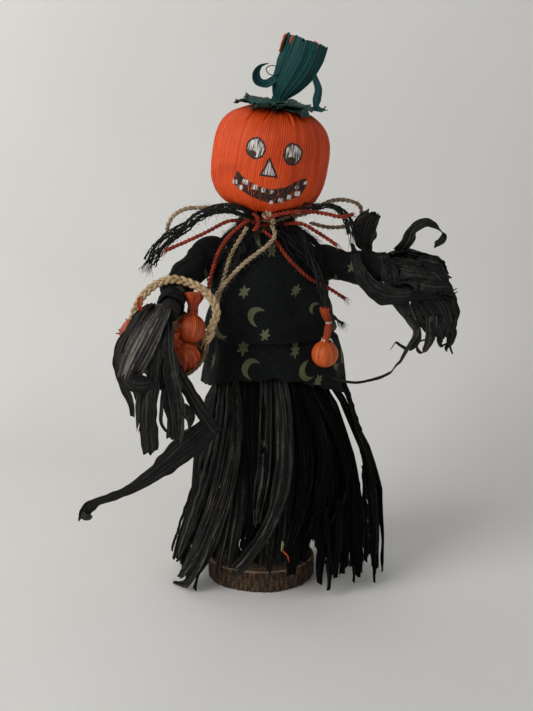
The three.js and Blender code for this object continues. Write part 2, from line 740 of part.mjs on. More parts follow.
function makeTies() {
  const juteZ = neckTop - 2.1;
  const orangeZ = juteZ - juteRadius - orangeRadius - clearance;
  addPiece('neck_tie_jute', joined(
    neckRing(juteRadius, juteZ),
    knot([5.5, -16.4, juteZ + 0.9], [4, 2.9, 3.4]),
  ), 'jute');
  addPiece('neck_tie_orange', joined(
    neckRing(orangeRadius, orangeZ),
    knot([-1.8, -14.8, orangeZ - 0.9], [4, 2.8, 2.9]),
  ), 'orangeYarn');

  // Each route's heights count from the neck's top.
  const cords = [
    ['jute_tail_short', 'jute', juteRadius, [
      [-7.2, -18.2, -5.4], [-10, -18.4, -10.2], [-13.4, -18.2, -15.7], [-16.8, -18.2, -22.2], [-19.2, -18.6, -29.2],
      [-21.4, -19, -37.2], [-23.2, -19.6, -43.7], [-24.8, -20, -49.7],
    ]],
    ['jute_tail_long', 'jute', juteRadius, [
      [7.1, -18.2, -4.3], [8.8, -20.4, -9.7], [5.4, -21.4, -14.8], [0.2, -22, -18.8], [-7.2, -22.4, -24.4],
      [-14, -23, -30.6], [-19.4, -23.6, -36.8], [-24, -23.4, -42.6], [-27, -22.8, -47.6],
    ]],
    ['jute_loop_left', 'jute', juteRadius, [
      [-9.5, -7, -1.3], [-20, -6.6, 2.8], [-33, -7, 4], [-44, -5, 2.8], [-51, -3, -1.6], [-54.2, -2, -7.2],
      [-55, -1, -12.6],
    ]],
    ['jute_loop_right', 'jute', juteRadius, [
      [19, -4.8, -1.8], [29, -1, 0.2], [42, 2, 6.4], [52, 5, 6.4], [60, 8, 2.2], [60, 10, -5.2],
      [52, 10, -9.8], [41, 8, -10.2], [30, 6, -7.2],
    ]],
    ['orange_tail_left', 'orangeYarn', orangeRadius, [
      [-5.6, -18.4, -1], [-11, -17.8, -4.6], [-18, -17.4, -11.2], [-23.4, -18.2, -19.2], [-26.6, -19.4, -27.6],
      [-28.8, -20.4, -35.2], [-30.2, -20.8, -42.2],
    ]],
    ['orange_strand_left', 'orangeYarn', orangeRadius, [
      [-6.5, -11.2, -4.4], [-12.4, -13.6, -2.4], [-18.6, -14.6, -2.8], [-30.4, -16, -8.6], [-39.6, -17, -12.8],
      [-48.6, -18, -16.6], [-54.6, -19, -19],
    ]],
    ['orange_tail_right', 'orangeYarn', orangeRadius, [
      [1.9, -15.9, -7.5], [9, -17.4, -13.2], [15, -20.2, -21.2], [25.2, -21.6, -31.8], [33, -19.4, -37.6],
      [41, -17, -42.2], [50.4, -15, -48.6],
    ]],
    ['orange_loop_right', 'orangeYarn', orangeRadius, [
      [9.9, -16.4, -0.1], [18, -16.4, 1.4], [27, -16.8, 2.2], [38, -17.6, 1.4], [47, -18.4, 0.6],
      [53.6, -18.8, 2.2],
    ]],
    ['orange_strand_right', 'orangeYarn', orangeRadius, [
      [13.5, -12.8, -4.5], [17.6, -15.6, -3.6], [24.6, -17, -3.8], [33.4, -17.4, -8.6], [44.6, -17.4, -16],
    ]],
    ['black_bundle_left', 'blackYarn', blackBundleRadius, [
      [-8.9, -10.4, 0.3], [-17, -12, 1.8], [-26, -12, 0.8], [-34.4, -12, -2], [-42.4, -12, -5.8],
      [-49.8, -12.4, -10.4], [-55.4, -13, -14.8], [-60, -13.6, -20], [-64.6, -15, -27],
    ]],
    ['black_bundle_right', 'blackYarn', blackHangRadius, [
      [16.6, -9.4, -1.4], [27, -12.4, 0.4], [38.6, -13, 4.8], [46.6, -13.6, 2.8], [51.4, -14, -2.6],
      [53.8, -14.4, -9.6],
    ]],
    ['black_hanging', 'blackYarn', blackHangRadius, [
      [17.5, -8.4, -5], [23.6, -12, -10.2], [28, -16.4, -18.6], [31.6, -20.4, -27.8], [34.8, -25.2, -35],
      [37.2, -29.8, -42.2], [pendantX, pendantY + 0.2, pendantTop - neckTop + 0.7],
    ]],
  ];
  for (const [name, finish, radius, route] of cords) {
    addPiece(name, cordTube(route.map(([x, y, z]) => [x, y, neckTop + z]), radius), finish);
  }
}

// Left hand: leaves torn into strips, which hang in front of the basket

function makeLeftHand(group) {
  const slanted = [1, 0, -0.6];
  const level = [1, 0, 0];
  addPiece('hand_left_outer', joined(
    huskLeaf({
      route: [
        [-50.5, -51.4, 196.2], [-51.6, -57, 195.2], [-55.4, -62, 190.6], [-60, -66.4, 183], [-65, -68, 175],
        [-70.5, -68.4, 167.6],
      ],
      hints: [level, level, slanted, slanted],
      widths: [10, 12, 13.5, 13.5, 12, 8],
    }),
    huskLeaf({
      route: [
        [-53, -52, 196.2], [-60, -55.4, 195.6], [-69, -58.6, 190.6], [-75.4, -61.6, 180], [-76.4, -63, 170],
        [-74, -63.6, 158.6], [-71.6, -64, 143], [-71.2, -65, 128],
      ],
      hints: [level, [1, -0.3, 0.5], [1, -0.4, 0.3], level, level],
      widths: [8, 9, 10, 10, 12, 10, 7, 2.5],
      steps: 11,
    }),
  ), 'blackHusk', group);
  addPiece('hand_left_inner', joined(
    huskLeaf({
      route: [
        [-51, -51.6, 182.9], [-54, -56, 181], [-58, -62.6, 171], [-59.8, -65.4, 158], [-61.4, -66.4, 141],
        [-62, -66.4, 124], [-61.8, -66, 111.5],
      ],
      hints: [level, level],
      widths: [8, 9, 10, 10, 9.5, 9, 7],
      steps: 9,
    }),
    huskLeaf({
      route: [
        [-48.8, -51.6, 182.7], [-48.6, -56, 180.8], [-50.2, -62, 171], [-50.2, -63.6, 160], [-48.4, -64, 146],
        [-47.4, -64, 131], [-49.5, -63, 118],
      ],
      hints: [level, [1, -0.3, 0]],
      widths: [8, 9, 11, 11.5, 11, 9, 5],
      steps: 9,
    }),
  ), 'blackHusk', group);
  addPiece('hand_left_tail', joined(
    huskLeaf({
      route: [
        [-42.5, -51, 189.6], [-40.2, -56, 186], [-38.2, -60.4, 175], [-36.4, -60, 162], [-33.4, -58, 148.6],
        [-29.2, -55, 134], [-24.6, -52.6, 118.6],
      ],
      hints: [[0.4, 0.2, 1], level, [1, 0, 0.3], [1, 0, 0.3]],
      widths: [6, 7, 8, 8.5, 9, 11, 12],
      steps: 9,
    }),
    huskLeaf({
      route: [
        [-21.6, -53, 121], [-27.4, -53.4, 115.6], [-37.4, -55, 109.6], [-49.6, -57, 101.6], [-60.6, -59, 94.6],
        [-72, -60, 87.8], [-83.6, -61, 83.2], [-93.4, -62, 79.6], [-102, -62, 71.6],
      ],
      hints: [[0.4, 0, 1], [0.4, -0.3, 1], [0.3, -0.5, 1], [0.2, -0.4, 1]],
      widths: [9, 13, 14, 12, 8, 6, 6, 7, 4],
      steps: 11,
    }),
  ), 'blackHusk', group);
}

// Right hand: a crumpled leaf at the arm's end, a hanging leaf, a torn tendril, and leaves on the sleeve.
// The hand's places are given in hand lengths from the wrist.

function makeRightHand(group) {
  const wrist = rightArm.route[3];
  const handPoint = (share) => new THREE.Vector3(...share).multiplyScalar(rightHandLength).add(wrist);
  const handRoute = smoothCurve([
    [0.044, -0.014, 0.014], [0.301, -0.079, 0.03], [0.574, -0.139, 0.025], [0.82, -0.178, -0.014],
    [1, -0.205, -0.052],
  ].map(handPoint));
  const tall = [9.6, 11.6, 11.6, 10, 5];
  const deep = [8.4, 9, 8.4, 7, 3.6];
  const rows = 7;
  const crumple = 0.7;
  const crumpled = ringSolid(rows, 20, false, (angle, row, layer) => {
    const t = row / (rows - 1);
    const rough = crumple * Math.sin(5 * angle + 2 * row) * (row % 2);
    const size = layer === 0 ? 0 : 1;
    return sectionPoint(handRoute, t, angle, size * (valueAlong(deep, t) + rough),
      size * (valueAlong(tall, t) + rough), up);
  });
  addPiece('hand_right_upper', joined(crumpled, huskLeaf({
    route: [
      [0.284, -0.096, 0.178], [0.317, -0.123, 0.478], [0.456, -0.15, 0.74], [0.678, -0.178, 0.85],
      [0.891, -0.205, 0.724], [0.831, -0.232, 0.516],
    ].map(handPoint),
    hints: [[0.4, 1, -0.3], [0.2, 1, -0.3]],
    widths: [9, 8, 7, 6, 5, 3],
    thickness: 2,
    steps: 9,
  })), 'blackHusk', group);
  addPiece('hand_right_lower', huskLeaf({
    route: [
      [0.656, -0.128, -0.328], [0.765, -0.15, -0.577], [0.913, -0.167, -0.806], [0.94, -0.15, -1.052],
      [0.891, -0.15, -1.27],
    ].map(handPoint),
    hints: [[1, 0, 0.35], [1, 0, 0.2], [1, 0, 0]],
    widths: [21, 22, 17, 11, 6],
    thickness: 2,
    fluteDepth: 0.9,
  }), 'blackHusk', group);
  addPiece('hand_right_tendril', huskLeaf({
    route: [
      [0.191, -0.085, -0.325], [0.301, -0.194, -0.489], [0.421, -0.303, -0.68], [0.508, -0.451, -0.872],
      [0.366, -0.615, -1.096], [0.06, -0.779, -1.467], [-0.503, -0.904, -1.582], [-0.874, -0.97, -1.478],
    ].map(handPoint),
    hints: [[1, 0, 0.1], [1, 0, 0.3], [1, 0, 0.3], [0.6, 0, 1], [0.2, 0, 1]],
    widths: [7, 6, 4.5, 3, 2.6, 2.4, 2.2, 2],
    fluteDepth: 0,
    steps: 18,
  }), 'blackHusk', group);

  const wrapLift = leafThickness / 2 + clearance + 1.7;
  const wrapPoints = 9;
  const wrapRoute = Array.from({ length: wrapPoints }, (_, i) => {
    const share = i / (wrapPoints - 1);
    const distance = THREE.MathUtils.lerp(26, 46, share ** 1.3);
    const radius = sleeveRadius(rightArm, Math.min(distance + 4, rightArm.cuff)) + wrapLift;
    return armPoint(rightArm, distance, THREE.MathUtils.lerp(-0.1, -2.6, share), radius);
  });
  addPiece('sleeve_wrap_right', huskLeaf({
    route: wrapRoute,
    hints: [[1, 0, 0.1], [1, 0, 0.3]],
    widths: [6, 8, 9, 10, 9, 6],
    fluteDepth: 0.2,
    steps: 9,
  }), 'blackHusk', group);

  const tuftFoot = armPoint(rightArm, 38, 0, sleeveRadius(rightArm, 38) + easyGap);
  const tuftRoute = smoothCurve([
    tuftFoot,
    tuftFoot.clone().add(new THREE.Vector3(-1, 0, 8)),
    tuftFoot.clone().add(new THREE.Vector3(2, -0.5, 16)),
    tuftFoot.clone().add(new THREE.Vector3(6, -1, 22)),
  ]);
  const tuftAcross = [2.4, 6.4, 6.6, 2];
  const tuftDeep = [2, 3.4, 3.4, 1.2];
  addPiece('tuft_right', ringSolid(6, 12, false, (angle, row, layer) => {
    const t = row / 5;
    const size = layer === 0 ? 0 : 1;
    return sectionPoint(tuftRoute, t, angle, size * valueAlong(tuftAcross, t), size * valueAlong(tuftDeep, t), back);
  }), 'blackHusk', group);
}

// Basket, which hangs by its handle over the left forearm

function huskPumpkin(centre, toKnob, radius) {
  const neck = radius * 0.3;
  const profile = [];
  const steps = 8;
  for (let i = 0; i <= steps; i += 1) {
    const polar = THREE.MathUtils.lerp(0, Math.PI - 0.32, i / steps);
    profile.push(new THREE.Vector2(radius * Math.sin(polar), -radius * Math.cos(polar)));
  }
  profile.push(new THREE.Vector2(neck, radius + 2.5));
  profile.push(new THREE.Vector2(neck * 1.5, radius + 5.5));
  profile.push(new THREE.Vector2(neck * 1.1, radius + 8));
  profile.push(new THREE.Vector2(0, radius + 8.6));
  const turn = new THREE.Quaternion().setFromUnitVectors(new THREE.Vector3(0, 1, 0), toKnob.clone().normalize());
  return closedGeometry(new THREE.LatheGeometry(profile, 14).applyQuaternion(turn)
    .translate(centre.x, centre.y, centre.z));
}

function makeBasket() {
  const basket = new THREE.Group();
  doll.add(basket);
  const shape = (radius, depth) => [0, 0.3, 0.6, 0.82, 0.95, 1].map((share) => {
    return new THREE.Vector2(radius * share, -depth * Math.sqrt(1 - share ** 2));
  });
  const outside = shape(bowlRadius, bowlDepth);
  const inside = shape(bowlRadius - bowlWall, bowlDepth - bowlWall).reverse();
  const bowl = new THREE.LatheGeometry([...outside, ...inside], 24)
    .rotateX(Math.PI / 2 + basketTilt)
    .translate(bowlCentre.x, bowlCentre.y, bowlCentre.z);
  addPiece('basket_bowl', closedGeometry(bowl), 'bowl', basket);

  const topZ = basketPivot.z + leftArm.radii[4] + easyGap + handleRadius;
  const rim = bowlRadius - bowlWall / 2;
  const foot = (side) => new THREE.Vector3(bowlCentre.x + side * rim, bowlCentre.y, bowlCentre.z)
    .add(new THREE.Vector3(0, -Math.sin(basketTilt), Math.cos(basketTilt)).multiplyScalar(handleRadius * 0.9));
  const overArm = (share, y, z) => new THREE.Vector3(share * bowlRadius, y, z).add(basketPivot);
  const handleRoute = [
    foot(-1),
    foot(-1).add(new THREE.Vector3(0, -1.4, 7)),
    overArm(-0.982, -2.6, -8),
    overArm(-0.773, 0, 2),
    overArm(-0.436, 0, 9),
    overArm(-0.027, 0, topZ + 1 - basketPivot.z),
    overArm(0.482, 0, 10.4),
    overArm(0.936, 0, 4),
    overArm(1.164, -1, -6),
    foot(1).add(new THREE.Vector3(3.2, 1, 8.4)),
    foot(1),
  ];
  const section = new THREE.Shape().absarc(0, 0, handleRadius, 0, 2 * Math.PI, false);
  addPiece('basket_handle', closedGeometry(new THREE.ExtrudeGeometry(section, {
    extrudePath: smoothCurve(handleRoute), steps: 26, curveSegments: 4, bevelEnabled: false,
  })), 'braid', basket);

  const inBowl = (x, y, z) => new THREE.Vector3(x, y, z).multiplyScalar(bowlRadius).add(bowlCentre);
  const contents = [
    ['pumpkin_1', inBowl(0.573, -0.118, 0.45), new THREE.Vector3(0.25, 0.62, 0.9), pumpkinRadius],
    ['pumpkin_2', inBowl(0.364, -0.3, -0.25), new THREE.Vector3(-0.5, 0.1, 0.86), smallPumpkinRadius],
    ['pumpkin_3', inBowl(-0.482, -0.227, 0.132), new THREE.Vector3(-0.9, -0.38, 0.3), pumpkinRadius],
  ];
  for (const [name, centre, toKnob, radius] of contents) {
    addPiece(name, huskPumpkin(centre, toKnob, radius), 'orangeHusk', basket);
  }
}

// Husk ball on the hanging yarn

function makePendant() {
  const wrapBottom = pendantTop - pendantWrapLength;
  const wrap = [
    [0, pendantTop], [0.9, pendantTop - 0.3], [pendantWrapRadius * 0.65, pendantTop - 1.6],
    [pendantWrapRadius, pendantTop - 4], [pendantWrapRadius, wrapBottom + 2], [pendantWrapRadius * 0.8, wrapBottom],
    [0, wrapBottom],
  ].map(([r, z]) => new THREE.Vector2(r, z));
  const standing = (profile) => closedGeometry(
    new THREE.LatheGeometry(profile, 14).rotateX(Math.PI / 2).translate(pendantX, pendantY, 0),
  );
  addPiece('pendant_wrap', standing(wrap), 'orangeHusk');

  const neckTopZ = wrapBottom - clearance;
  const neckEnd = neckTopZ - pendantNeckLength;
  const ballCentre = neckEnd - pendantBallRadius + 0.4;
  const profile = [
    [0, neckTopZ], [0.6, neckTopZ - 0.2], [pendantNeckRadius, neckTopZ - 2.2],
    [pendantNeckRadius, neckEnd + 2], [pendantNeckRadius * 0.8, neckEnd],
  ].map(([r, z]) => new THREE.Vector2(r, z));
  const steps = 9;
  const firstPolar = Math.asin((pendantNeckRadius * 0.8) / pendantBallRadius) + 0.15;
  for (let i = 0; i <= steps; i += 1) {
    const polar = THREE.MathUtils.lerp(firstPolar, Math.PI, i / steps);
    const radius = i === steps ? 0 : pendantBallRadius * Math.sin(polar);
    profile.push(new THREE.Vector2(radius, ballCentre + pendantBallRadius * Math.cos(polar)));
  }
  addPiece('pendant_ball', standing(profile), 'orangeHusk');
}

makeBase();
makeBody();
makeTunic();
makeSkirt();
makeHead();
makeStem();
makeTies();
makeArm(leftArm, 'left', doll);
makeLeftHand(doll);
makeArm(rightArm, 'right', doll);
makeRightHand(doll);
makeBasket();
makePendant();

export default doll;
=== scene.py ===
# A corn-husk scarecrow doll with a pumpkin head, a basket and a hanging ball: its looks.
# The frame is the CAD model's, in metres. Lengths in the tables below are in millimetres.

import math

import bmesh
import bpy
import numpy as np
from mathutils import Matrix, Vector


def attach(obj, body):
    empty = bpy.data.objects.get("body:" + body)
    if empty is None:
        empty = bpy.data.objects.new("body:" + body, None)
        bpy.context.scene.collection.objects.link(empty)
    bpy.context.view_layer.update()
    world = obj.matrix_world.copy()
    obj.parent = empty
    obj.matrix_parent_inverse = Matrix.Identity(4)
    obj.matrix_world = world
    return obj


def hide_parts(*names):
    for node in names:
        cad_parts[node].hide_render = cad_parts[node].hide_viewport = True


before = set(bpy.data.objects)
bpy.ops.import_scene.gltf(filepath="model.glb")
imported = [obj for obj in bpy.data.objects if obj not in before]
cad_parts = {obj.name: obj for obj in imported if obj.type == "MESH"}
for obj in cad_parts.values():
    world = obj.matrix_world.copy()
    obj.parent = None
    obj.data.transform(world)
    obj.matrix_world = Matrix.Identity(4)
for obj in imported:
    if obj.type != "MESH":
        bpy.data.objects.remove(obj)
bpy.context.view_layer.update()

scene = bpy.context.scene
up = np.array([0.0, 0.0, 1.0])


# Camera at the photograph's angle

cameraData = bpy.data.cameras.new("camera")
cameraData.lens = 54.08
cameraData.sensor_width = 36
camera = bpy.data.objects.new("camera", cameraData)
camera.location = (0.004, -0.628, 0.342)
camera.rotation_euler = (math.radians(72.9), 0, 0)
scene.collection.objects.link(camera)
scene.camera = camera


# Smooth noise from a table of random numbers

noiseTable = np.random.RandomState(11).uniform(-1, 1, (64, 64))


def roughSheet(x, y):
    x, y = np.broadcast_arrays(np.asarray(x, float), np.asarray(y, float))
    column, row = np.floor(x).astype(int), np.floor(y).astype(int)
    across, down = x - column, y - row
    across, down = across * across * (3 - 2 * across), down * down * (3 - 2 * down)
    corner = lambda i, j: noiseTable[(row + j) % 64, (column + i) % 64]
    above = corner(0, 0) * (1 - across) + corner(1, 0) * across
    below = corner(0, 1) * (1 - across) + corner(1, 1) * across
    return above * (1 - down) + below * down


def roughLine(x, seed):
    return roughSheet(x, seed * 5.37 + 0.5)


def layeredNoise(x, y):
    total = 0
    for i in range(3):
        total = total + roughSheet(np.asarray(x) * 2 ** i + 9.1 * i, np.asarray(y) * 2 ** i + 4.7 * i) / 2 ** i
    return total / 1.6


def rampUp(value, low, high):
    share = np.clip((value - low) / (high - low), 0, 1)
    return share * share * (3 - 2 * share)


# Arrays of points: values side by side, angles round a ring, and a direction between two others

def together(*parts):
    return np.stack(np.broadcast_arrays(*parts), axis=-1)


def ringAngles(count, first=0.0):
    return np.linspace(first, first + 2 * np.pi, count, endpoint=False)[None, :]


def spoke(side, other, turn):
    return side * np.cos(turn)[..., None] + other * np.sin(turn)[..., None]


# Small bends in three directions, which change along the spots
def shaken(points, spots, size, seed):
    return points + size * np.stack([roughLine(spots, seed + k) for k in range(3)], axis=1)


# Paths: centripetal Catmull-Rom curves, as in the CAD model

def curvePoints(route, places):
    points = np.array(route, float)
    ends = np.vstack([2 * points[0] - points[1], points, 2 * points[-1] - points[-2]])
    spot = np.clip(places, 0, 1) * (len(points) - 1)
    span = np.minimum(spot.astype(int), len(points) - 2)
    w = (spot - span)[:, None]
    p0, p1, p2, p3 = (ends[span + i] for i in range(4))
    gap = lambda a, b: np.maximum(np.linalg.norm(b - a, axis=1), 1e-6)[:, None] ** 0.5
    d0, d1, d2 = gap(p0, p1), gap(p1, p2), gap(p2, p3)
    t1 = ((p1 - p0) / d0 - (p2 - p0) / (d0 + d1) + (p2 - p1) / d1) * d1
    t2 = ((p2 - p1) / d1 - (p3 - p1) / (d1 + d2) + (p3 - p2) / d2) * d1
    c2 = -3 * p1 + 3 * p2 - 2 * t1 - t2
    c3 = 2 * p1 - 2 * p2 + t1 + t2
    return p1 + t1 * w + c2 * w ** 2 + c3 * w ** 3


def lengthsAlong(points):
    return np.concatenate([[0], np.cumsum(np.linalg.norm(np.diff(points, axis=0), axis=1))])


# Evenly spaced points, each one's share of the control points, and its distance from the start
def evenPath(route, spacing, end=1):
    shares = np.linspace(0, end, 60 * len(route))
    dense = curvePoints(route, shares)
    travelled = lengthsAlong(dense)
    count = max(3, int(round(travelled[-1] / spacing)) + 1)
    wanted = np.linspace(0, travelled[-1], count)
    even = np.interp(wanted, travelled, shares)
    return curvePoints(route, even), even, wanted


def valuesAlong(values, shares):
    values = np.array(values, float)
    stops = np.linspace(0, 1, len(values))
    if values.ndim == 1:
        return np.interp(shares, stops, values)
    return np.stack([np.interp(shares, stops, values[:, i]) for i in range(values.shape[1])], axis=1)


def unit(vectors):
    return vectors / np.maximum(np.linalg.norm(vectors, axis=-1, keepdims=True), 1e-9)


def tangentsOf(points):
    return unit(np.gradient(points, axis=0))


# Sides and normals that turn as little as they can along a path
def easyFrames(points, firstSide=None):
    along = tangentsOf(points)
    if firstSide is None:
        firstSide = np.cross(along[0], up if abs(along[0][2]) < 0.9 else [1, 0, 0])
    sides = np.zeros_like(points)
    side = unit(np.array(firstSide, float) - np.dot(firstSide, along[0]) * along[0])
    for i, direction in enumerate(along):
        side = unit(side - np.dot(side, direction) * direction)
        sides[i] = side
    return along, sides, np.cross(along, sides)


# A mesh gathered from grids of points in millimetres

farOutside = 9.0


class Shape:
    def __init__(self):
        self.points, self.quads, self.uvs, self.slots, self.values = [], [], [], [], []
        self.count = 0

    # A closed shell between two walls of rings; its inner wall counts as far outside any paint.
    def shell(self, outer, inner, uv, **values):
        whole = {key: np.concatenate([value, np.full(inner.shape[:2], farOutside)]) for key, value in values.items()}
        self.grid(np.concatenate([outer, inner[::-1]]), np.concatenate([uv, uv[::-1]]), wrap=True, loop=True, **whole)

    # wrap closes each row into a ring, and loop closes the rows into one too.
    def grid(self, points, uv, wrap=False, loop=False, slot=0, **values):
        points = np.asarray(points, float)
        rows, cols = points.shape[:2]
        uv = np.asarray(uv, float)
        if wrap:
            uv = np.concatenate([uv, 2 * uv[:, -1:] - uv[:, -2:-1]], axis=1)
        if loop:
            uv = np.concatenate([uv, uv[:1]], axis=0)
        r, c = np.meshgrid(np.arange(rows if loop else rows - 1), np.arange(cols if wrap else cols - 1),
                           indexing="ij")
        r, c = r.ravel(), c.ravel()
        r1, c1 = (r + 1) % rows, (c + 1) % cols
        quads = np.stack([r * cols + c, r * cols + c1, r1 * cols + c1, r1 * cols + c], axis=1)
        corners = np.stack([uv[r, c], uv[r, c + 1], uv[r + 1, c + 1], uv[r + 1, c]], axis=1)
        if wrap and not loop:
            j = np.arange(cols // 2 - 1)
            for row, turn in ((0, -1), (rows - 1, 1)):
                lid = np.stack([j, j + 1, cols - 2 - j, cols - 1 - j], axis=1)[:, ::turn]
                quads = np.concatenate([quads, lid + row * cols])
                corners = np.concatenate([corners, uv[row][lid]])
        flat = points.reshape(-1, 3)
        if wrap:
            a, b, d, e = (flat[quads[:, i]] for i in range(4))
            volume = np.sum(a * np.cross(b, d)) + np.sum(a * np.cross(d, e))
            if volume < 0:
                quads, corners = quads[:, ::-1], corners[:, ::-1]
        self.add(flat, quads, corners, slot, {k: np.broadcast_to(v, (rows, cols)).ravel() for k, v in values.items()})

    def add(self, flat, quads, corners, slot, values):
        self.points.append(flat)
        self.quads.append(quads + self.count)
        self.uvs.append(corners)
        self.slots.append(np.full(len(quads), slot))
        self.values.append((len(flat), values))
        self.count += len(flat)

    # The object rides on its body. Its material slot's name is passed in but not used; the last argument names the
    # CAD node that it replaces.
    def build(self, name, materials, body, slot, node=None):
        points = np.concatenate(self.points) * 0.001
        quads = np.concatenate(self.quads)
        mesh = bpy.data.meshes.new(name)
        mesh.vertices.add(len(points))
        mesh.vertices.foreach_set("co", points.ravel())
        mesh.loops.add(quads.size)
        mesh.loops.foreach_set("vertex_index", quads.ravel())
        mesh.polygons.add(len(quads))
        mesh.polygons.foreach_set("loop_start", np.arange(0, quads.size, 4))
        mesh.polygons.foreach_set("material_index", np.concatenate(self.slots))
        mesh.polygons.foreach_set("use_smooth", np.full(len(quads), True))
        layer = mesh.uv_layers.new(name="UVMap")
        layer.uv.foreach_set("vector", np.concatenate(self.uvs).reshape(-1))
        for key in sorted({k for _, values in self.values for k in values}):
            whole = [values.get(key, np.zeros(size)) for size, values in self.values]
            mesh.attributes.new(key, "FLOAT", "POINT").data.foreach_set("value", np.concatenate(whole))
        mesh.update(calc_edges=True)
        mesh.validate()
        obj = bpy.data.objects.new(name, mesh)
        scene.collection.objects.link(obj)
        for material in materials if isinstance(materials, list) else [materials]:
            mesh.materials.append(material)
        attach(obj, body)
        if node:
            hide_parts(node)
        return obj


# A tube along points; its radius may change along it.
def addTube(shape, points, radius, sides=8, flat=1.0, slot=0):
    _, side, normal = easyFrames(points)
    angle = np.arange(sides) * 2 * np.pi / sides
    radius = np.broadcast_to(np.asarray(radius, float), len(points))
    ring = points[:, None] + radius[:, None, None] * (
        side[:, None] * np.cos(angle)[None, :, None] + flat * normal[:, None] * np.sin(angle)[None, :, None])
    shape.grid(ring, together(angle * radius.mean(), lengthsAlong(points)[:, None]), wrap=True, slot=slot)


# Twisted yarn: plies that wind round a path
def addYarn(shape, points, radius, plies=2, pitch=6.0, phase=0.0, sides=6, thick=0.56):
    _, side, normal = easyFrames(points)
    travelled = lengthsAlong(points)
    for ply in range(plies):
        turn = phase + 2 * np.pi * (travelled / pitch + ply / plies)
        offset = 0.5 * radius * (1 + 0.12 * roughLine(travelled / 3, ply + phase))
        centre = points + offset[:, None] * spoke(side, normal, turn)
        width = thick * radius * (1 + 0.1 * roughLine(travelled / 2, ply + 7 + phase))
        addTube(shape, centre, width, sides=sides)


# Thin bent hairs, all made at once
def addHairs(shape, roots, directions, lengths, thickness, seed, droop, wave, rows=5):
    random = np.random.RandomState(seed)
    count = len(roots)
    directions = unit(directions)
    bend = random.normal(0, wave, (count, 3)) - droop * up
    t = np.linspace(0, 1, rows)[None, :, None]
    lengths = np.broadcast_to(lengths, count)[:, None, None]
    curl = random.normal(0, wave * 0.6, (count, 3))
    bent = directions[:, None] * t + bend[:, None] * t ** 2 + curl[:, None] * np.sin(t * 5)
    line = roots[:, None] + lengths * bent
    side = unit(np.cross(directions, random.normal(0, 1, (count, 3))))
    other = np.cross(directions, side)
    width = (thickness * (1 - 0.6 * t))[..., None]
    angle = np.arange(3) * 2 * np.pi / 3
    rings = line[:, :, None] + width * spoke(side[:, None, None], other[:, None, None], angle)
    flat = rings.reshape(-1, 3)
    r, c = np.meshgrid(np.arange(rows - 1), np.arange(3), indexing="ij")
    r, c = r.ravel(), c.ravel()
    one = np.stack([r * 3 + c, r * 3 + (c + 1) % 3, (r + 1) * 3 + (c + 1) % 3, (r + 1) * 3 + c], axis=1)
    quads = (one[None] + (np.arange(count) * rows * 3)[:, None, None]).reshape(-1, 4)
    corners = np.zeros((len(quads), 4, 2))
    corners[..., 1] = (r / rows)[None, :, None].repeat(count, 0).reshape(-1, 1) * 4
    corners[..., 0] = np.repeat(random.uniform(0, 50, count), len(one))[:, None]
    shape.add(flat, quads, corners, 0, {})


# Hairs that stand off a path
def fuzzAlong(shape, points, radius, perMillimetre, length, thickness, seed, droop=0.3):
    random = np.random.RandomState(seed)
    travelled = lengthsAlong(points)
    count = max(1, int(perMillimetre * travelled[-1]))
    spot = random.uniform(0, travelled[-1], count)
    roots = np.stack([np.interp(spot, travelled, points[:, i]) for i in range(3)], axis=1)
    tangents = tangentsOf(points)
    direction = np.stack([np.interp(spot, travelled, tangents[:, i]) for i in range(3)], axis=1)
    out = random.normal(0, 1, (count, 3))
    out = unit(out - np.sum(out * direction, axis=1, keepdims=True) * direction)
    roots = roots + out * radius * 0.7
    lean = random.uniform(-0.6, 0.6, (count, 1)) + 0.36
    addHairs(shape, roots, out + direction * lean * 1.6, random.uniform(0.4, 1, count) * length, thickness, seed + 1,
             droop=droop, wave=0.3)


# Loose strands that fan out from a cord's end
def fraySpray(shape, points, radius, count, length, thickness, seed, spread, droop=0.3):
    random = np.random.RandomState(seed)
    tangent = unit(points[-1] - points[-3])
    out = random.normal(0, 1, (count, 3))
    out = unit(out - np.sum(out * tangent, axis=1, keepdims=True) * tangent)
    roots = points[-1] - tangent * 1.2 + out * radius * 0.55
    direction = tangent + out * random.uniform(0.1, spread, (count, 1))
    addHairs(shape, roots, direction, random.uniform(0.55, 1, count) * length, thickness, seed + 1, droop=droop,
             wave=0.12, rows=6)


# Materials

def node(tree, kind, inputs=None, **settings):
    made = tree.nodes.new(kind)
    for key, value in settings.items():
        setattr(made, key, value)
    for key, value in (inputs or {}).items():
        socket = made.inputs[key]
        if isinstance(value, bpy.types.NodeSocket):
            tree.links.new(value, socket)
        else:
            socket.default_value = value
    return made


def newGroup(name, inputs, outputs):
    group = bpy.data.node_groups.new(name, "ShaderNodeTree")
    for label, kind, default in inputs:
        socket = group.interface.new_socket(label, in_out="INPUT", socket_type=kind)
        if default is not None:
            socket.default_value = default
    for label, kind in outputs:
        group.interface.new_socket(label, in_out="OUTPUT", socket_type=kind)
    return group, node(group, "NodeGroupInput"), node(group, "NodeGroupOutput")


def maths(tree, operation, a, b, c=0.0):
    return node(tree, "ShaderNodeMath", {0: a, 1: b, 2: c}, operation=operation).outputs[0]


def mixColour(tree, share, a, b, blend="MIX"):
    made = node(tree, "ShaderNodeMix", {0: share, 6: a, 7: b}, data_type="RGBA", blend_type=blend)
    return made.outputs[2]


def colourRamp(tree, value, stops):
    made = node(tree, "ShaderNodeValToRGB", {0: value})
    ramp = made.color_ramp
    while len(ramp.elements) < len(stops):
        ramp.elements.new(0.5)
    for element, (place, colour) in zip(ramp.elements, stops):
        element.position = place
        element.color = (*colour, 1)
    return made.outputs[0]


